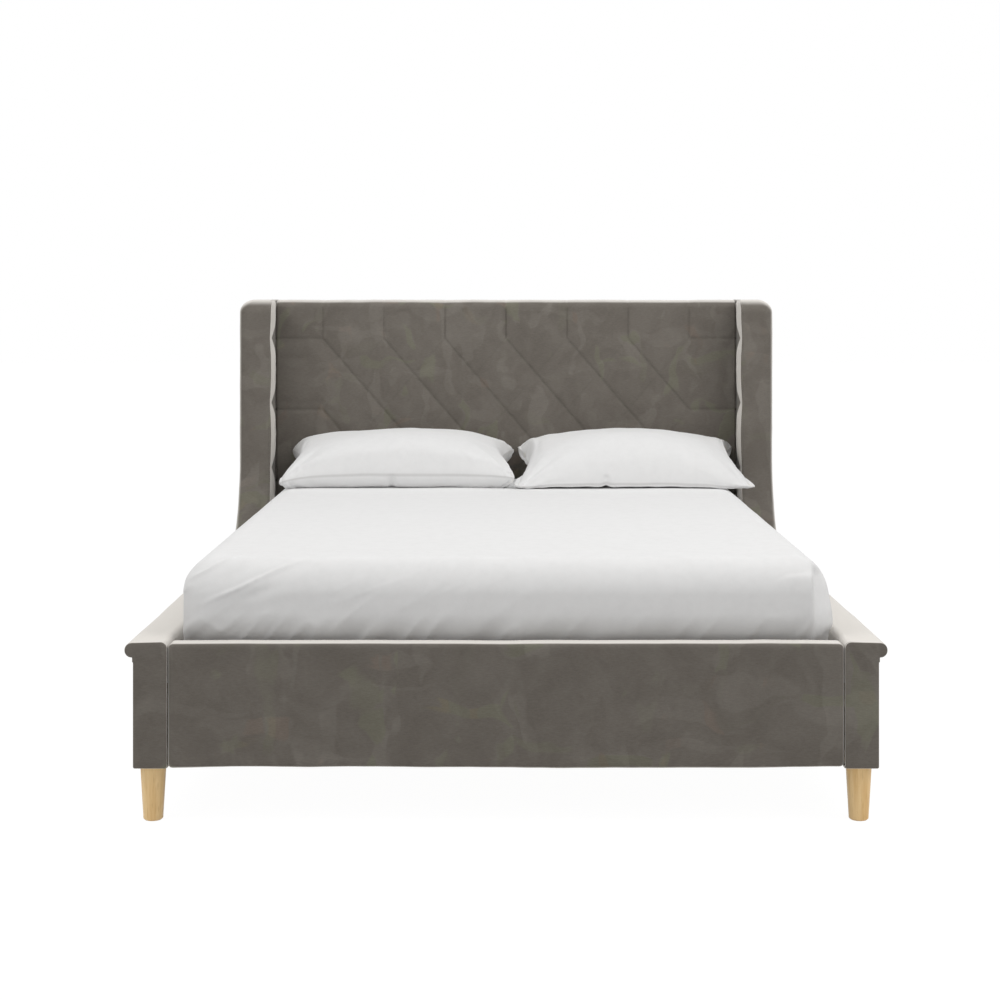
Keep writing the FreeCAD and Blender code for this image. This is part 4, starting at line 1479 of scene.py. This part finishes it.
# ---- mattress and sheet
@dataclass
class Bedding:
    """The mattress in its ticking and the fitted sheet stretched over it.

    The waist is its distance below the top and how far the foot side draws in under it. The lobe
    is how far the right corner bulges, and the heights of its top and its bottom. Parts are the
    points along the foot side, the head side and each long side. The fold is the sheet's pleat,
    and the reach of its lip is given above and below the crest.
    """

    ticking: Material
    cotton: Material
    corner_radius: float = 0.070
    corner_drop: float = 0.006
    edge_radius: float = 0.038
    top_radius: float = 0.080
    waist: Pair = (0.125, 0.020)
    lobe: Triple = (0.011, 0.570, 0.412)
    tuck: float = 0.12
    sheet_thickness: float = 0.0012
    fold_place: float = 0.717
    fold_lean: float = 0.040
    fold_stand: float = 0.0015
    lip_height: float = 0.0032
    lip_reach: Pair = (0.0045, 0.020)
    corner_parts: int = 23
    mattress_parts: tuple[int, int, int] = (60, 60, 80)
    sheet_parts: tuple[int, int, int] = (216, 56, 66)
    tape_inset: float = 0.03
    tape_width: float = 0.007
    border_depth: float = 0.0035
    corner_reach: float = 0.10
    front_reach: float = 0.09
    crown: float = 0.004

    def rings(self, low: Vector, high: Vector, insets: Array, heights: Array,
              side_parts: tuple[int, int, int]) -> Array:
        """Rounded rectangles at given insets and heights, all with the same number of points.

        Args:
            low: lowest corner of the block.
            high: highest corner of the block.
            insets: how far each ring lies inside the outline.
            heights: height of each ring.
            side_parts: points along the foot side, the head side and each long side.

        Returns:
            Points of shape (rings, points, 3), anticlockwise from above.
        """
        half_x, half_y = (high.x - low.x) / 2.0, (high.y - low.y) / 2.0
        centre_x, centre_y = (high.x + low.x) / 2.0, (high.y + low.y) / 2.0
        inset = insets[:, None]
        radius = np.clip(self.corner_radius - inset, 0.0, None)
        reach_x = np.clip(half_x - inset - radius, 0.0, None)
        reach_y = half_y - inset - radius
        foot, head, along = [np.linspace(-1.0, 1.0, parts, endpoint=False)[None, :]
                             for parts in side_parts]
        quarter = math.pi / 2.0
        runs: list[Array] = []
        for turn, (x, y) in enumerate(((1.0, -1.0), (1.0, 1.0), (-1.0, 1.0), (-1.0, -1.0))):
            start = turn * quarter - quarter
            angles = np.linspace(start, start + quarter, self.corner_parts, endpoint=False)
            if turn in (0, 2):
                across = foot if turn == 0 else head
                runs.append(grid_of(-y * reach_x * across, y * (reach_y + radius)))
            else:
                runs.append(grid_of(x * (reach_x + radius), x * reach_y * along))
            runs.append(grid_of(x * reach_x + radius * np.cos(angles),
                                y * reach_y + radius * np.sin(angles)))
        plan = np.concatenate(runs, axis=1)
        return grid_of(plan[:, :, 0] + centre_x, plan[:, :, 1] + centre_y, heights[:, None])

    @staticmethod
    def away(points: Array, low: Vector, high: Vector) -> Array:
        """Level unit vectors from the block's upright middle line to each point.

        Args:
            points: grid of points.
            low: lowest corner of the block.
            high: highest corner of the block.

        Returns:
            One vector for each point.
        """
        away = points - np.array([(low.x + high.x) / 2.0, (low.y + high.y) / 2.0, 0.0])
        away[:, :, 2] = 0.0
        return away / np.maximum(np.linalg.norm(away, axis=2, keepdims=True), 1e-6)

    def profile(self, low: Vector, high: Vector, start: float) -> tuple[Array, Array]:
        """Insets and heights from under the block, round both borders, to its middle.

        Args:
            low: lowest corner of the block.
            high: highest corner of the block.
            start: inset of the first ring.

        Returns:
            The inset and the height of each ring.
        """
        radius, crown = self.edge_radius, self.top_radius
        under = np.linspace(start, radius, 9)[:-1]
        turn = np.linspace(-math.pi / 2.0, 0.0, 8)
        rise = np.linspace(0.0, math.pi / 2.0, 32)
        wall = np.linspace(low.z + radius, high.z - crown, 26)[1:-1]
        top = np.linspace(crown, (high.x - low.x) / 2.0, 27)[1:]
        insets = np.concatenate([under, radius - radius * np.cos(turn), np.zeros(len(wall)),
                                 crown - crown * np.cos(rise), top])
        heights = np.concatenate([np.full(len(under), low.z),
                                  low.z + radius + radius * np.sin(turn), wall,
                                  high.z - crown + crown * np.sin(rise),
                                  np.full(len(top), high.z)])
        return insets, heights

    def mattress(self) -> None:
        """Mattress with a taped edge round its top and bottom borders."""
        low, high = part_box("mattress")
        insets, heights = self.profile(low, high, (high.x - low.x) / 2.0)
        points = self.rings(low, high, insets, heights, self.mattress_parts)
        middle = (low.z + high.z) / 2.0
        above = np.abs(points[:, :, 2] - middle) - (middle - low.z)
        tape = np.exp(-((above + self.tape_inset) / self.tape_width)**2)
        side = smooth_step(0.02 - insets[:, None], 0.0, 0.02)
        sunk = self.border_depth * (1.0 - tape) * side
        points = points - self.away(points, low, high) * sunk[:, :, None]
        points = self.settle(points, low, high)
        shell = Shell()
        numbers = shell.add(points, points[:, :, :2], tape * side * 0.3)
        shell.span(numbers, close_columns=True)
        piece = shell.piece("mattress_in_ticking")
        seat(piece, "mattress_with_sheet", self.ticking, "mattress")

    def settle(self, points: Array, low: Vector, high: Vector) -> Array:
        """Lowers the top's corners, draws the foot side in and shapes its right corner.

        The corners sink by drop * s, s being how far a point lies into a corner. The foot side
        draws in by depth * t^2, t growing downwards from nothing at the waist. The right corner
        bulges out downwards, comes in again quickly over its last 28 mm, and past the sheet's
        pleat it leans back with height.

        Args:
            points: grid of points.
            low: lowest corner of the block.
            high: highest corner of the block.

        Returns:
            The points in their new places.
        """
        middle = (low + high) / 2.0
        start, depth = self.waist
        size, top, bottom = self.lobe
        points = points.copy()
        x, y, z = coordinates(points)
        lower = np.clip((high.z - start - z) / 0.075, 0.0, 1.0) ** 2
        foot = smooth_step(middle.y - y, high.y - middle.y - 0.09, high.y - middle.y - 0.02)
        bulge = size * smooth_step(top - z, 0.0, 0.125) * smooth_step(z - bottom, 0.0, 0.028)
        bulge = bulge * smooth_step(x, high.x - 0.05, high.x) * smooth_step(
            low.y + 0.30 - y, 0.0, 0.25)
        x += bulge
        y += depth * lower * foot
        behind = smooth_step(x, self.fold_place, self.fold_place + 0.012)
        behind = behind * smooth_step(low.y + 0.30 - y, 0.0, 0.28)
        behind = behind * smooth_step(z, low.z + 0.08, high.z - 0.045)
        behind = behind * (1.0 - smooth_step(z, high.z - 0.045, high.z - 0.002))
        y += self.fold_lean * behind
        reach = self.corner_reach
        into_x = np.abs(x - middle.x) - ((high.x - low.x) / 2.0 - reach)
        into_y = np.abs(y - middle.y) - ((high.y - low.y) / 2.0 - reach)
        share = smooth_step(into_x, 0.0, reach) * smooth_step(into_y, 0.0, reach)
        z -= self.corner_drop * share * smooth_step(z, high.z - 0.11, high.z)
        return points

    @staticmethod
    def drags(x: Array, z: Array, lean: float, cells: Pair, seed: int) -> Array:
        """Slanting drags in a flat front.

        A drag is noise in turned coordinates whose cells are several times longer along the
        drag than across it, and a ridge runs where a second such noise n is nothing,
        (1 - |n|)^5.

        Args:
            x: places across.
            z: heights.
            lean: angle of the drags to the level, in degrees.
            cells: cells per metre along a drag and across it.
            seed: of the noise.

        Returns:
            Height of the drags, about -0.5 to 1.6.
        """
        turn = math.radians(lean)
        along = (x * math.cos(turn) + z * math.sin(turn)) * cells[0]
        across = (z * math.cos(turn) - x * math.sin(turn)) * cells[1]
        ridge = (1.0 - np.abs(value_noise(along * 0.8, across * 0.7, seed + 1))) ** 5
        return 0.55 * value_noise(along, across, seed) + 1.1 * ridge

    def wrinkles(self, points: Array, low: Vector, high: Vector) -> Array:
        """How far the sheet stands off: slanting drags on the front and faint ones on top.

        Args:
            points: grid of points.
            low: lowest corner of the block.
            high: highest corner of the block.

        Returns:
            The distance at each point.
        """
        x, y, z = coordinates(points)
        front = smooth_step(low.y + self.front_reach - y, 0.0, 0.06)
        patchy = smooth_step(value_noise(x * 3.0, z * 2.0, 85), -0.5, 0.5)
        upper = smooth_step(z, high.z - 0.12, high.z - 0.05)
        lower = smooth_step(low.z + 0.15 - z, 0.0, 0.07)
        corner = smooth_step(-x, 0.42, 0.60)
        drag = (self.drags(x, z, 22.0, (9.0, 46.0), 83) * upper * (0.35 * patchy + corner)
                + self.drags(x, z, 40.0, (5.0, 32.0), 85) * 0.45 * patchy
                + self.drags(x, z, 52.0, (9.0, 34.0), 89) * lower * (0.5 + 0.5 * patchy))
        slow_front = layered_noise(x * 3.0, z * 5.0, 87, 2)
        top = smooth_step(z, high.z - 0.03, high.z)
        slow = layered_noise(x * 2.0 + y * 1.1, y * 2.6 - x * 0.8, 91)
        fine = value_noise(x * 9.0 + y * 6.0, y * 3.0 - x * 1.2, 95)
        slow_side = layered_noise(y * 6.0 + z * 5.0, z * 8.0, 97)
        return (front * (0.0014 + 0.0060 * drag + 0.0018 * slow_front)
                + top * (0.0012 * slow + 0.0009 * fine)
                + (1.0 - top) * (1.0 - front) * 0.0010 * slow_side)

    def corner_fold(self, points: Array, low: Vector, high: Vector) -> tuple[Array, Array]:
        """The pleat at the foot's right corner.

        In front of the pleat the cloth runs on flat, so it stands off the round corner by
        r - sqrt(r^2 - s^2). Behind it the cloth lies on the corner again. A lip runs from the
        pleat's top along the front and falls off as exp(-(d / width)^2), quickly upwards and
        slowly downwards.

        Args:
            points: grid of points.
            low: lowest corner of the block.
            high: highest corner of the block.

        Returns:
            The shift towards the foot, and the mask of a painted shade line along the pleat.
        """
        x, y, z = coordinates(points)
        radius = self.corner_radius
        run = np.clip(x - (high.x - radius), 0.0, radius)
        gap = radius - np.sqrt(radius**2 - run**2)
        before = 1.0 - smooth_step(x, self.fold_place - 0.001, self.fold_place + 0.001)
        height = smooth_step(z, low.z + 0.01, low.z + 0.03)
        height = height * (1.0 - smooth_step(z, high.z - 0.040, high.z - 0.026))
        at_front = smooth_step(low.y + 0.08 - y, 0.0, 0.02)
        shift = gap + self.fold_stand * smooth_step(run, 0.0, 0.03)
        shift = shift * before * height * at_front
        crest = high.z - 0.034 + np.interp(
            x, self.fold_place + np.array([-0.095, -0.055, 0.0, 0.014]),
            [-0.022, -0.006, 0.0, -0.010])
        fade = smooth_step(x, self.fold_place - 0.11, self.fold_place - 0.03)
        fade = fade * (1.0 - smooth_step(x, self.fold_place + 0.008, self.fold_place + 0.020))
        above = z - crest
        lip = np.exp(-((above / np.where(above > 0.0, *self.lip_reach)) ** 2))
        shift = shift + self.lip_height * lip * at_front * fade
        # Painted shade: a thin dark line along the pleat's edge.
        edge = np.exp(-(((x - self.fold_place) / 0.003) ** 2)) * height * at_front
        return shift, 0.2 * edge

    def sheet(self) -> None:
        """Fitted sheet: rings over the mattress, its hem turned under, with drags and a pleat."""
        low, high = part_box("fitted_sheet")
        insets, heights = self.profile(low, high, self.tuck)
        points = self.rings(low, high, insets, heights, self.sheet_parts)
        y, z = points[:, :, 1], points[:, :, 2]
        lift = smooth_step(z, high.z - self.top_radius, high.z)
        stand = self.wrinkles(points, low, high)
        fold, mask = self.corner_fold(points, low, high)
        used = smooth_step(z, low.z + 0.004, low.z + 0.05)
        front = smooth_step(low.y + self.front_reach - y, 0.0, 0.06)
        spread = stand * (1.0 - lift) * used
        sides = spread * (1.0 - front)
        points = points + self.away(points, low, high) * sides[:, :, None]
        x, y, z = coordinates(points)
        y -= spread * front + fold
        middle = (low.y + high.y) / 2.0
        crown = self.crown * (1.0 - (x / high.x) ** 2)
        crown = crown * (1.0 - ((y - middle) / (high.y - middle)) ** 2)
        z += (stand + crown) * lift
        points = self.settle(points, low, high)
        shell = Shell()
        numbers = shell.add(points, points[:, :, :2], mask)
        shell.span(numbers, close_columns=True)
        piece = shell.piece("fitted_sheet_cotton", 70.0)
        wall = piece.modifiers.new("thickness", "SOLIDIFY")
        wall.thickness = self.sheet_thickness
        wall.offset = -1.0
        apply_modifiers(piece)
        seat(piece, "mattress_with_sheet", self.cotton, "fitted_sheet")

    def build(self) -> None:
        """Makes the mattress and the sheet."""
        self.mattress()
        self.sheet()


# ---- pillows
@dataclass(frozen=True)
class PillowShape:
    """How one pillow lies: its outline's corners, its seam's height and its crown.

    Pairs are of the left and the right corner. The crown is knots of place across and height,
    as shares, and the tuck is the place across of the fold under the front seam.
    """

    ears_front: Pair
    ears_back: Pair
    seam_front: float
    corner_drop: Pair
    seam_back: float
    crown: tuple[Pair, ...]
    tuck: float
    seed: int

    @classmethod
    def of(cls, side: Side) -> "PillowShape":
        """The shape of the pillow on one side.

        Args:
            side: the side.

        Returns:
            The shape.
        """
        if side is Side.LEFT:
            crown = ((-1.0, 0.0), (-0.97, 0.40), (-0.88, 0.66), (-0.755, 0.79), (-0.21, 0.93),
                     (0.40, 1.0), (0.60, 0.93), (0.73, 0.79), (0.91, 0.50), (0.97, 0.28),
                     (1.0, 0.0))
            return cls((0.022, 0.024), (0.034, 0.022), 0.0425, (0.027, 0.008), 0.092, crown,
                       -0.05, 101)
        crown = ((-1.0, 0.0), (-0.96, 0.44), (-0.83, 0.76), (-0.61, 0.91), (-0.2, 1.0),
                 (0.36, 0.96), (0.73, 0.825), (0.92, 0.67), (0.975, 0.48), (1.0, 0.0))
        return cls((0.020, 0.036), (0.008, 0.014), 0.018, (0.006, 0.010), 0.098, crown,
                   -0.22, 211)


@dataclass
class Pillow:
    """One filled pillow in its case."""

    side: Side
    ticking: Material
    cotton: Material
    pull_side: float = 0.046
    pull_front: float = 0.016
    corner_cut: float = 0.012
    thinning: float = 0.90
    columns: int = 141
    rows: int = 89
    crowding: float = 0.96
    inset: float = 0.004
    pressure: float = 4.0
    swell_cap: float = 0.009
    slack: float = 0.02
    seam_width: float = 0.0020
    seam_shade: float = 0.9
    pucker_depth: float = 0.0030
    fan_depth: float = 0.0045
    swell_depth: float = 0.0020
    tuck_width: float = 0.009
    tuck_shift: Pair = (0.010, 0.006)
    margin: float = 0.0003
    rim_rows: int = 6
    shape: PillowShape = field(init=False)
    low: Vector = field(init=False)
    high: Vector = field(init=False)

    def __post_init__(self) -> None:
        """Reads the pillow's place from the frame."""
        self.shape = PillowShape.of(self.side)
        self.low, self.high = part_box(self.side.node("pillowcase"))

    def grid(self) -> tuple[Array, Array]:
        """Shares across and along the pillow, closer together near the seam.

        Returns:
            The shares from -1 to 1, as one row and one column.
        """
        u, v = [np.sin(np.linspace(-1.0, 1.0, parts) * math.pi / 2.0 * self.crowding)
                for parts in (self.columns, self.rows)]
        return (u / u[-1])[None, :], (v / v[-1])[:, None]

    def shares(self, places: Array) -> tuple[Array, Array]:
        """Where points lie across and along the pillow.

        Args:
            places: the points, one row each.

        Returns:
            Their shares, from -1 to 1, across and along.
        """
        low, high = self.low, self.high
        return ((places[:, 0] - (low.x + high.x) / 2.0) / (high.x - low.x) * 2.0,
                (places[:, 1] - (low.y + high.y) / 2.0) / (high.y - low.y) * 2.0)

    def seam_height(self, u: Array, v: Array) -> Array:
        """Height of the seam: low in front, lower still at its corners, and raised behind.

        Args:
            u: shares across.
            v: shares along.

        Returns:
            The heights.
        """
        left, right = self.shape.corner_drop
        corner = np.where(u < 0.0, left, right) * np.abs(u) ** 5
        wave = 0.0018 * value_noise(u * 4.0 + 7.0, v * 0.0, self.shape.seed)
        front = self.low.z + self.shape.seam_front - corner + wave * (1.0 - u * u)
        back = self.low.z + self.shape.seam_back
        return front + (back - front) * smooth_step(v, -1.0, 1.1)

    def form(self, inset: float) -> Array:
        """Two crowned sheets joined at the seam.

        The outline is a rectangle whose sides pull in between its corners by
        pull * (1 - v^2) * (1 + 0.4 v), whose ends pull in by pull * (1 - |u|^2.6), and whose
        corners are blunted by cut * (|u| |v|)^12. The top rises from the seam by the crown's
        profile across, which gives way to (1 - |u|^2.2)^0.8 towards the front, times
        (1 - |v|^2.6)^0.55 along. The belly sinks and is cut off flat where it lies on the
        mattress.

        Args:
            inset: how far the surface lies inside the case.

        Returns:
            Points of shape (2, rows, columns, 3).
        """
        u, v = self.grid()
        low, high = self.low, self.high
        front = 1.0 - smooth_step(v, -1.0, 1.0)
        ears = [front * near + (1.0 - front) * far
                for near, far in zip(self.shape.ears_front, self.shape.ears_back)]
        half_x = (high.x - low.x) / 2.0 - inset
        half_y = (high.y - low.y) / 2.0 - inset
        reach = np.where(u < 0.0, half_x + ears[0], half_x + ears[1])
        blunt = self.corner_cut * (np.abs(u) * np.abs(v)) ** 12
        waist = (1.0 - v * v) * (1.0 + 0.4 * v)
        x = (low.x + high.x) / 2.0 + u * (
            reach - blunt - self.pull_side * waist * np.abs(u) ** 3)
        y = (low.y + high.y) / 2.0 + v * (
            half_y - blunt - self.pull_front * (1.0 - np.abs(u) ** 2.6) * np.abs(v) ** 3)
        seam = self.seam_height(u, v)
        along = np.clip(1.0 - np.abs(v) ** 2.6, 0.0, 1.0) ** 0.55
        crown = smooth_line(u, self.shape.crown)
        bulge = (crown + front * ((1.0 - np.abs(u) ** 2.2) ** 0.8 - crown)) * along
        slow = layered_noise(u * 2.4 + 3.0, v * 1.8, self.shape.seed)
        top = seam + (high.z - inset - 0.006 - seam) * bulge * (1.0 + 0.014 * slow)
        plump = np.clip(1.0 - np.abs(u) ** 8, 0.0, 1.0) ** 0.5
        under = seam - (0.030 + 0.45 * (seam - low.z)) * plump * np.clip(
            1.0 - np.abs(v) ** 8, 0.0, 1.0) ** 0.5
        under = np.maximum(under, low.z + inset)
        return np.stack([grid_of(x, y, z) for z in (top, under)])

    def wrinkles(self, places: Array) -> Array:
        """Creases that the seam pulls into the case.

        Puckers run in from the seam, exp(-d / 45 mm) of their depth being left a distance d
        away. Longer folds fan out from the corners, deepest 100 mm away from them.

        Args:
            places: points of the case, one row each.

        Returns:
            How far each point moves outwards.
        """
        u, v = self.shares(places)
        half_x, half_y = (self.high.x - self.low.x) / 2.0, (self.high.y - self.low.y) / 2.0
        to_side = np.clip(1.0 - np.abs(u), 0.0, 1.0) * half_x
        to_end = np.clip(1.0 - np.abs(v), 0.0, 1.0) * half_y
        seed = self.shape.seed
        pucker = value_noise(u * 13.0, v * 2.0, seed + 1) * np.exp(-to_end / 0.045)
        pucker = pucker + value_noise(v * 9.0, u * 2.0, seed + 2) * np.exp(-to_side / 0.045)
        angle = np.arctan2(to_end, to_side)
        reach = np.hypot(to_end, to_side)
        fan = value_noise(angle * 7.0, np.sign(u) * 3.0 + np.sign(v) * 5.0 + reach * 2.0,
                          seed + 3)
        fan = fan * np.exp(-((reach - 0.10) / 0.08) ** 2)
        slow = layered_noise(u * 3.0 + v, v * 3.0 - u, seed + 4)
        return self.pucker_depth * pucker + self.fan_depth * fan + self.swell_depth * slow

    def case(self) -> tuple[Object, Array, Array]:
        """The case: the form blown up as cloth, creased and settled, with a fold tucked in.

        Its seam is shaded by exp(-(d / width)^2), d being the distance from the seam.

        Returns:
            The case, and the grids of points of its top and its belly.
        """
        top, under = self.form(self.inset)
        shell = Shell()
        u, v = self.grid()
        to_seam = np.minimum((1.0 - np.abs(u)) * (self.high.x - self.low.x),
                             (1.0 - np.abs(v)) * (self.high.y - self.low.y)) / 2.0
        rise = top[:, :, 2] - self.seam_height(u, v)
        # Painted shade: a thin dark line along the seam.
        rim = self.seam_shade * np.exp(-((to_seam**2 + rise**2) / self.seam_width**2))
        above = shell.add(top, top[:, :, :2], rim)
        below = above.copy()
        below[1:-1, 1:-1] = shell.add(under[1:-1, 1:-1], under[1:-1, 1:-1, :2],
                                      rim[1:-1, 1:-1])
        shell.span(above)
        shell.span(below[:, ::-1])
        piece = shell.piece(self.side.node("pillowcase_cotton"), 180.0)
        swell(piece, self.pressure, self.swell_cap, shrink=-self.slack)
        places = read_points(piece.data)
        peak = places[:, 2].max()
        climb = (places[:, 2] - self.low.z) / (peak - self.low.z)
        places[:, 2] += (self.high.z - 0.001 - peak) * np.clip(climb, 0.0, 1.0) ** 2
        normals = np.empty(len(places) * 3, np.float32)
        piece.data.vertices.foreach_get("normal", normals)
        normals = normals.reshape(-1, 3)
        places = places + normals * self.wrinkles(places)[:, None]
        across, _ = self.shares(places)
        near = np.exp(-((places[:, 1] - self.low.y - 0.02) / 0.05) ** 2)
        fold = np.exp(-(((across - self.shape.tuck) * 0.375 / self.tuck_width) ** 2)) * near
        lower = smooth_step(self.low.z + 0.05 - places[:, 2], 0.0, 0.02)
        places[:, 1] += self.tuck_shift[0] * fold * lower
        places[:, 2] += self.tuck_shift[1] * fold * lower
        places[:, 2] = np.maximum(places[:, 2], self.low.z + self.margin)
        places[:, 2] = np.minimum(places[:, 2], self.high.z)
        places[:, 1] = np.minimum(places[:, 1], self.high.y - self.margin)
        write_points(piece.data, places)
        smooth = piece.modifiers.new("smooth", "SUBSURF")
        smooth.levels = smooth.render_levels = 1
        apply_modifiers(piece)
        return piece, places[above], places[below]

    def build(self) -> None:
        """Makes the case, and the pillow in it, a little thinner all over."""
        body = f"{self.side.value}_pillow"
        case, top, under = self.case()
        seat(case, body, self.cotton, self.side.node("pillowcase"))
        middle, rim = (top + under) / 2.0, self.rim_rows
        shell = Shell()
        shell.skin_pair(*[(middle + self.thinning * (sheet - middle))[rim:-rim, rim:-rim]
                          for sheet in (top, under)])
        filling = shell.piece(self.side.node("pillow_filling"), 180.0)
        seat(filling, body, self.ticking, self.side.node("pillow"))


# ---- carried-over frame parts
@dataclass
class FrameParts:
    """Timber and steel of the frame, which keep their own meshes and get their finishes."""

    groups: Groups

    def dress(self, finish: Timber | Metal, names: list[str]) -> None:
        """Gives one finish to several nodes.

        Args:
            finish: the finish.
            names: the nodes.
        """
        material = finish.material(self.groups)
        for name in names:
            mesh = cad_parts[name].data
            mesh.materials.clear()
            mesh.materials.append(material)
            LOG.info("%s: %s", name, finish.name)

    def build(self) -> None:
        """Sorts the nodes by finish and by the run of their grain."""
        pine = {"early": (0.62, 0.44, 0.25), "late": (0.50, 0.32, 0.16)}
        slats = sorted(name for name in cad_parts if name.startswith("slat_")
                       and not name.startswith("slat_ledger"))
        pairs = [side.node for side in Side]
        self.dress(Timber("ash_leg", (0.94, 0.68, 0.35), (0.81, 0.53, 0.23), 62.0, 0.38),
                   ["legs_front", "legs_rear"])
        self.dress(Timber("pine_slat", (0.66, 0.49, 0.29), (0.55, 0.38, 0.20), 45.0, 0.6,
                          Grain.ACROSS), slats)
        self.dress(Timber("pine_across", **pine, grain=Grain.ACROSS),
                   ["footboard_core", "headboard_top_rail", "headboard_bottom_rail"])
        along = ["centre_beam"]
        for node in pairs:
            along += [node("side_rail_core"), node("rail_nosing"), node("slat_ledger")]
        self.dress(Timber("pine_along", **pine, grain=Grain.ALONG), along)
        upright = ["centre_leg_front", "centre_leg_rear"]
        self.dress(Timber("pine_upright", **pine),
                   upright + [node("headboard_stile") for node in pairs])
        self.dress(Timber("birch_plywood", (0.60, 0.45, 0.28), (0.53, 0.38, 0.22), 30.0, 0.6),
                   ["headboard_face_board"] + [node("wing_core") for node in pairs])
        self.dress(Metal("powder_coat", (0.014, 0.014, 0.014), 0.0, 0.55),
                   ["corner_brackets", "beam_hangers", "rail_hook_plates", "receiver_plates"])
        self.dress(Metal("zinc_plate", (0.55, 0.55, 0.53), 1.0, 0.38),
                   ["levelling_foot_front", "levelling_foot_rear"])


# ---- studio
@dataclass
class Studio:
    """Pale floor, soft lights and the camera."""

    camera_distance: float = 4.2
    camera_height: float = 1.201
    lens: float = 65.88
    shift: Pair = (-0.006, -0.199)
    floor_reach: float = 30.0
    floor_glow: float = 0.90
    world_light: float = 0.5
    ceiling_watts: float = 40.0
    right_watts: float = 38.0
    left_watts: float = 32.0
    cool: Colour = (0.98, 0.99, 1.0)
    warm: Colour = (1.0, 0.975, 0.945)

    def camera(self) -> None:
        """Level camera in front of the foot."""
        data = bpy.data.cameras.new("camera")
        data.lens = self.lens
        data.shift_x, data.shift_y = self.shift
        made = bpy.data.objects.new("camera", data)
        made.location = (0.0, CAD_BOUNDS[0][1] - self.camera_distance, self.camera_height)
        made.rotation_euler = (math.pi / 2.0, 0.0, 0.0)
        bpy.context.scene.collection.objects.link(made)
        bpy.context.scene.camera = made

    @staticmethod
    def lamp(name: str, place: Triple, target: Triple, size: Pair, watts: float,
             colour: Colour) -> None:
        """Rectangular soft light that faces a target.

        Args:
            name: name of the light.
            place: where it hangs.
            target: the point that it faces.
            size: its width and height.
            watts: its power.
            colour: its colour.
        """
        data = bpy.data.lights.new(name, "AREA")
        data.shape = "RECTANGLE"
        data.size, data.size_y = size
        data.energy = watts
        data.color = colour
        made = bpy.data.objects.new(name, data)
        made.location = place
        facing = Vector(target) - Vector(place)
        made.rotation_euler = facing.to_track_quat("-Z", "Y").to_euler()
        bpy.context.scene.collection.objects.link(made)

    @staticmethod
    def backdrop_shader(graph: Graph, share: float) -> None:
        """White glow to the camera and to mirrors, over matte that takes the shadow.

        Args:
            graph: graph of the floor's material.
            share: share of the glow in what is seen.
        """
        graph.tree.nodes.clear()
        seen = graph.seen()
        matte = graph.add("ShaderNodeBsdfDiffuse", Color=(0.88, 0.88, 0.88))
        glow = graph.add("ShaderNodeEmission", Color=(1.0, 1.0, 1.0), Strength=1.08)
        mix = graph.add("ShaderNodeMixShader")
        part = graph.calc("MULTIPLY", seen, share)
        surface = graph.feed_all(mix, (part, matte.outputs[0], glow.outputs[0]))
        graph.add("ShaderNodeOutputMaterial", Surface=surface)

    def floor(self) -> None:
        """Wide floor plane, white but for the bed's faint shadow."""
        half = self.floor_reach
        corners = [(x * half, y * half, 0.0) for x, y in ((-1, -1), (1, -1), (1, 1), (-1, 1))]
        mesh = bpy.data.meshes.new("floor")
        mesh.from_pydata(corners, [], [(0, 1, 2, 3)])
        made = bpy.data.objects.new("floor", mesh)
        bpy.context.scene.collection.objects.link(made)
        material = bpy.data.materials.new("floor")
        material.use_nodes = True
        self.backdrop_shader(Graph(material.node_tree), self.floor_glow)
        mesh.materials.append(material)

    def world(self) -> None:
        """Even white surround: full white to the camera, softer as a light."""
        world = bpy.data.worlds.new("studio")
        world.use_nodes = True
        bpy.context.scene.world = world
        graph = Graph(world.node_tree)
        strength = graph.calc("MULTIPLY_ADD", graph.seen(), 1.0 - self.world_light,
                              self.world_light)
        graph.fill(world.node_tree.nodes["Background"], Color=(1.0, 1.0, 1.0), Strength=strength)

    def build(self) -> None:
        """Sets up the camera, the floor, the world and the lights."""
        scene = bpy.context.scene
        scene.view_settings.view_transform = "Standard"
        self.camera()
        self.floor()
        self.world()
        self.lamp("ceiling", (0.3, 0.0, 3.8), (0.0, 0.1, 0.5), (4.0, 4.0), self.ceiling_watts,
                  self.cool)
        for name, x, watts in (("right", 2.6, self.right_watts), ("left", -2.6, self.left_watts)):
            self.lamp(name, (x, -1.7, 3.3), (0.0, 0.3, 0.7), (2.0, 2.0), watts, self.warm)


def main() -> None:
    """Builds the bed piece by piece and reports each one."""
    logging.basicConfig(level=logging.INFO, format="%(name)s: %(message)s")
    Studio().build()
    groups = Groups.built()
    velvet = Velvet().material(groups)
    sheet = Cotton("sheet_cotton", (0.835, 0.835, 0.835), (0.81, 0.81, 0.81)).material(groups)
    case = Cotton("pillowcase_cotton", (0.795, 0.795, 0.795),
                  (0.775, 0.775, 0.775)).material(groups)
    lining = Cotton("ticking", (0.80, 0.78, 0.74), (0.74, 0.72, 0.68),
                    thread=0.0011).material(groups)
    FrameParts(groups).build()
    Headboard(velvet).build()
    for side in Side:
        Wing(side, velvet).build()
        SideRail(side, velvet).build()
    Footboard(velvet).build()
    Bedding(lining, sheet).build()
    for side in Side:
        Pillow(side, lining, case).build()


if __name__ == "__main__":
    main()
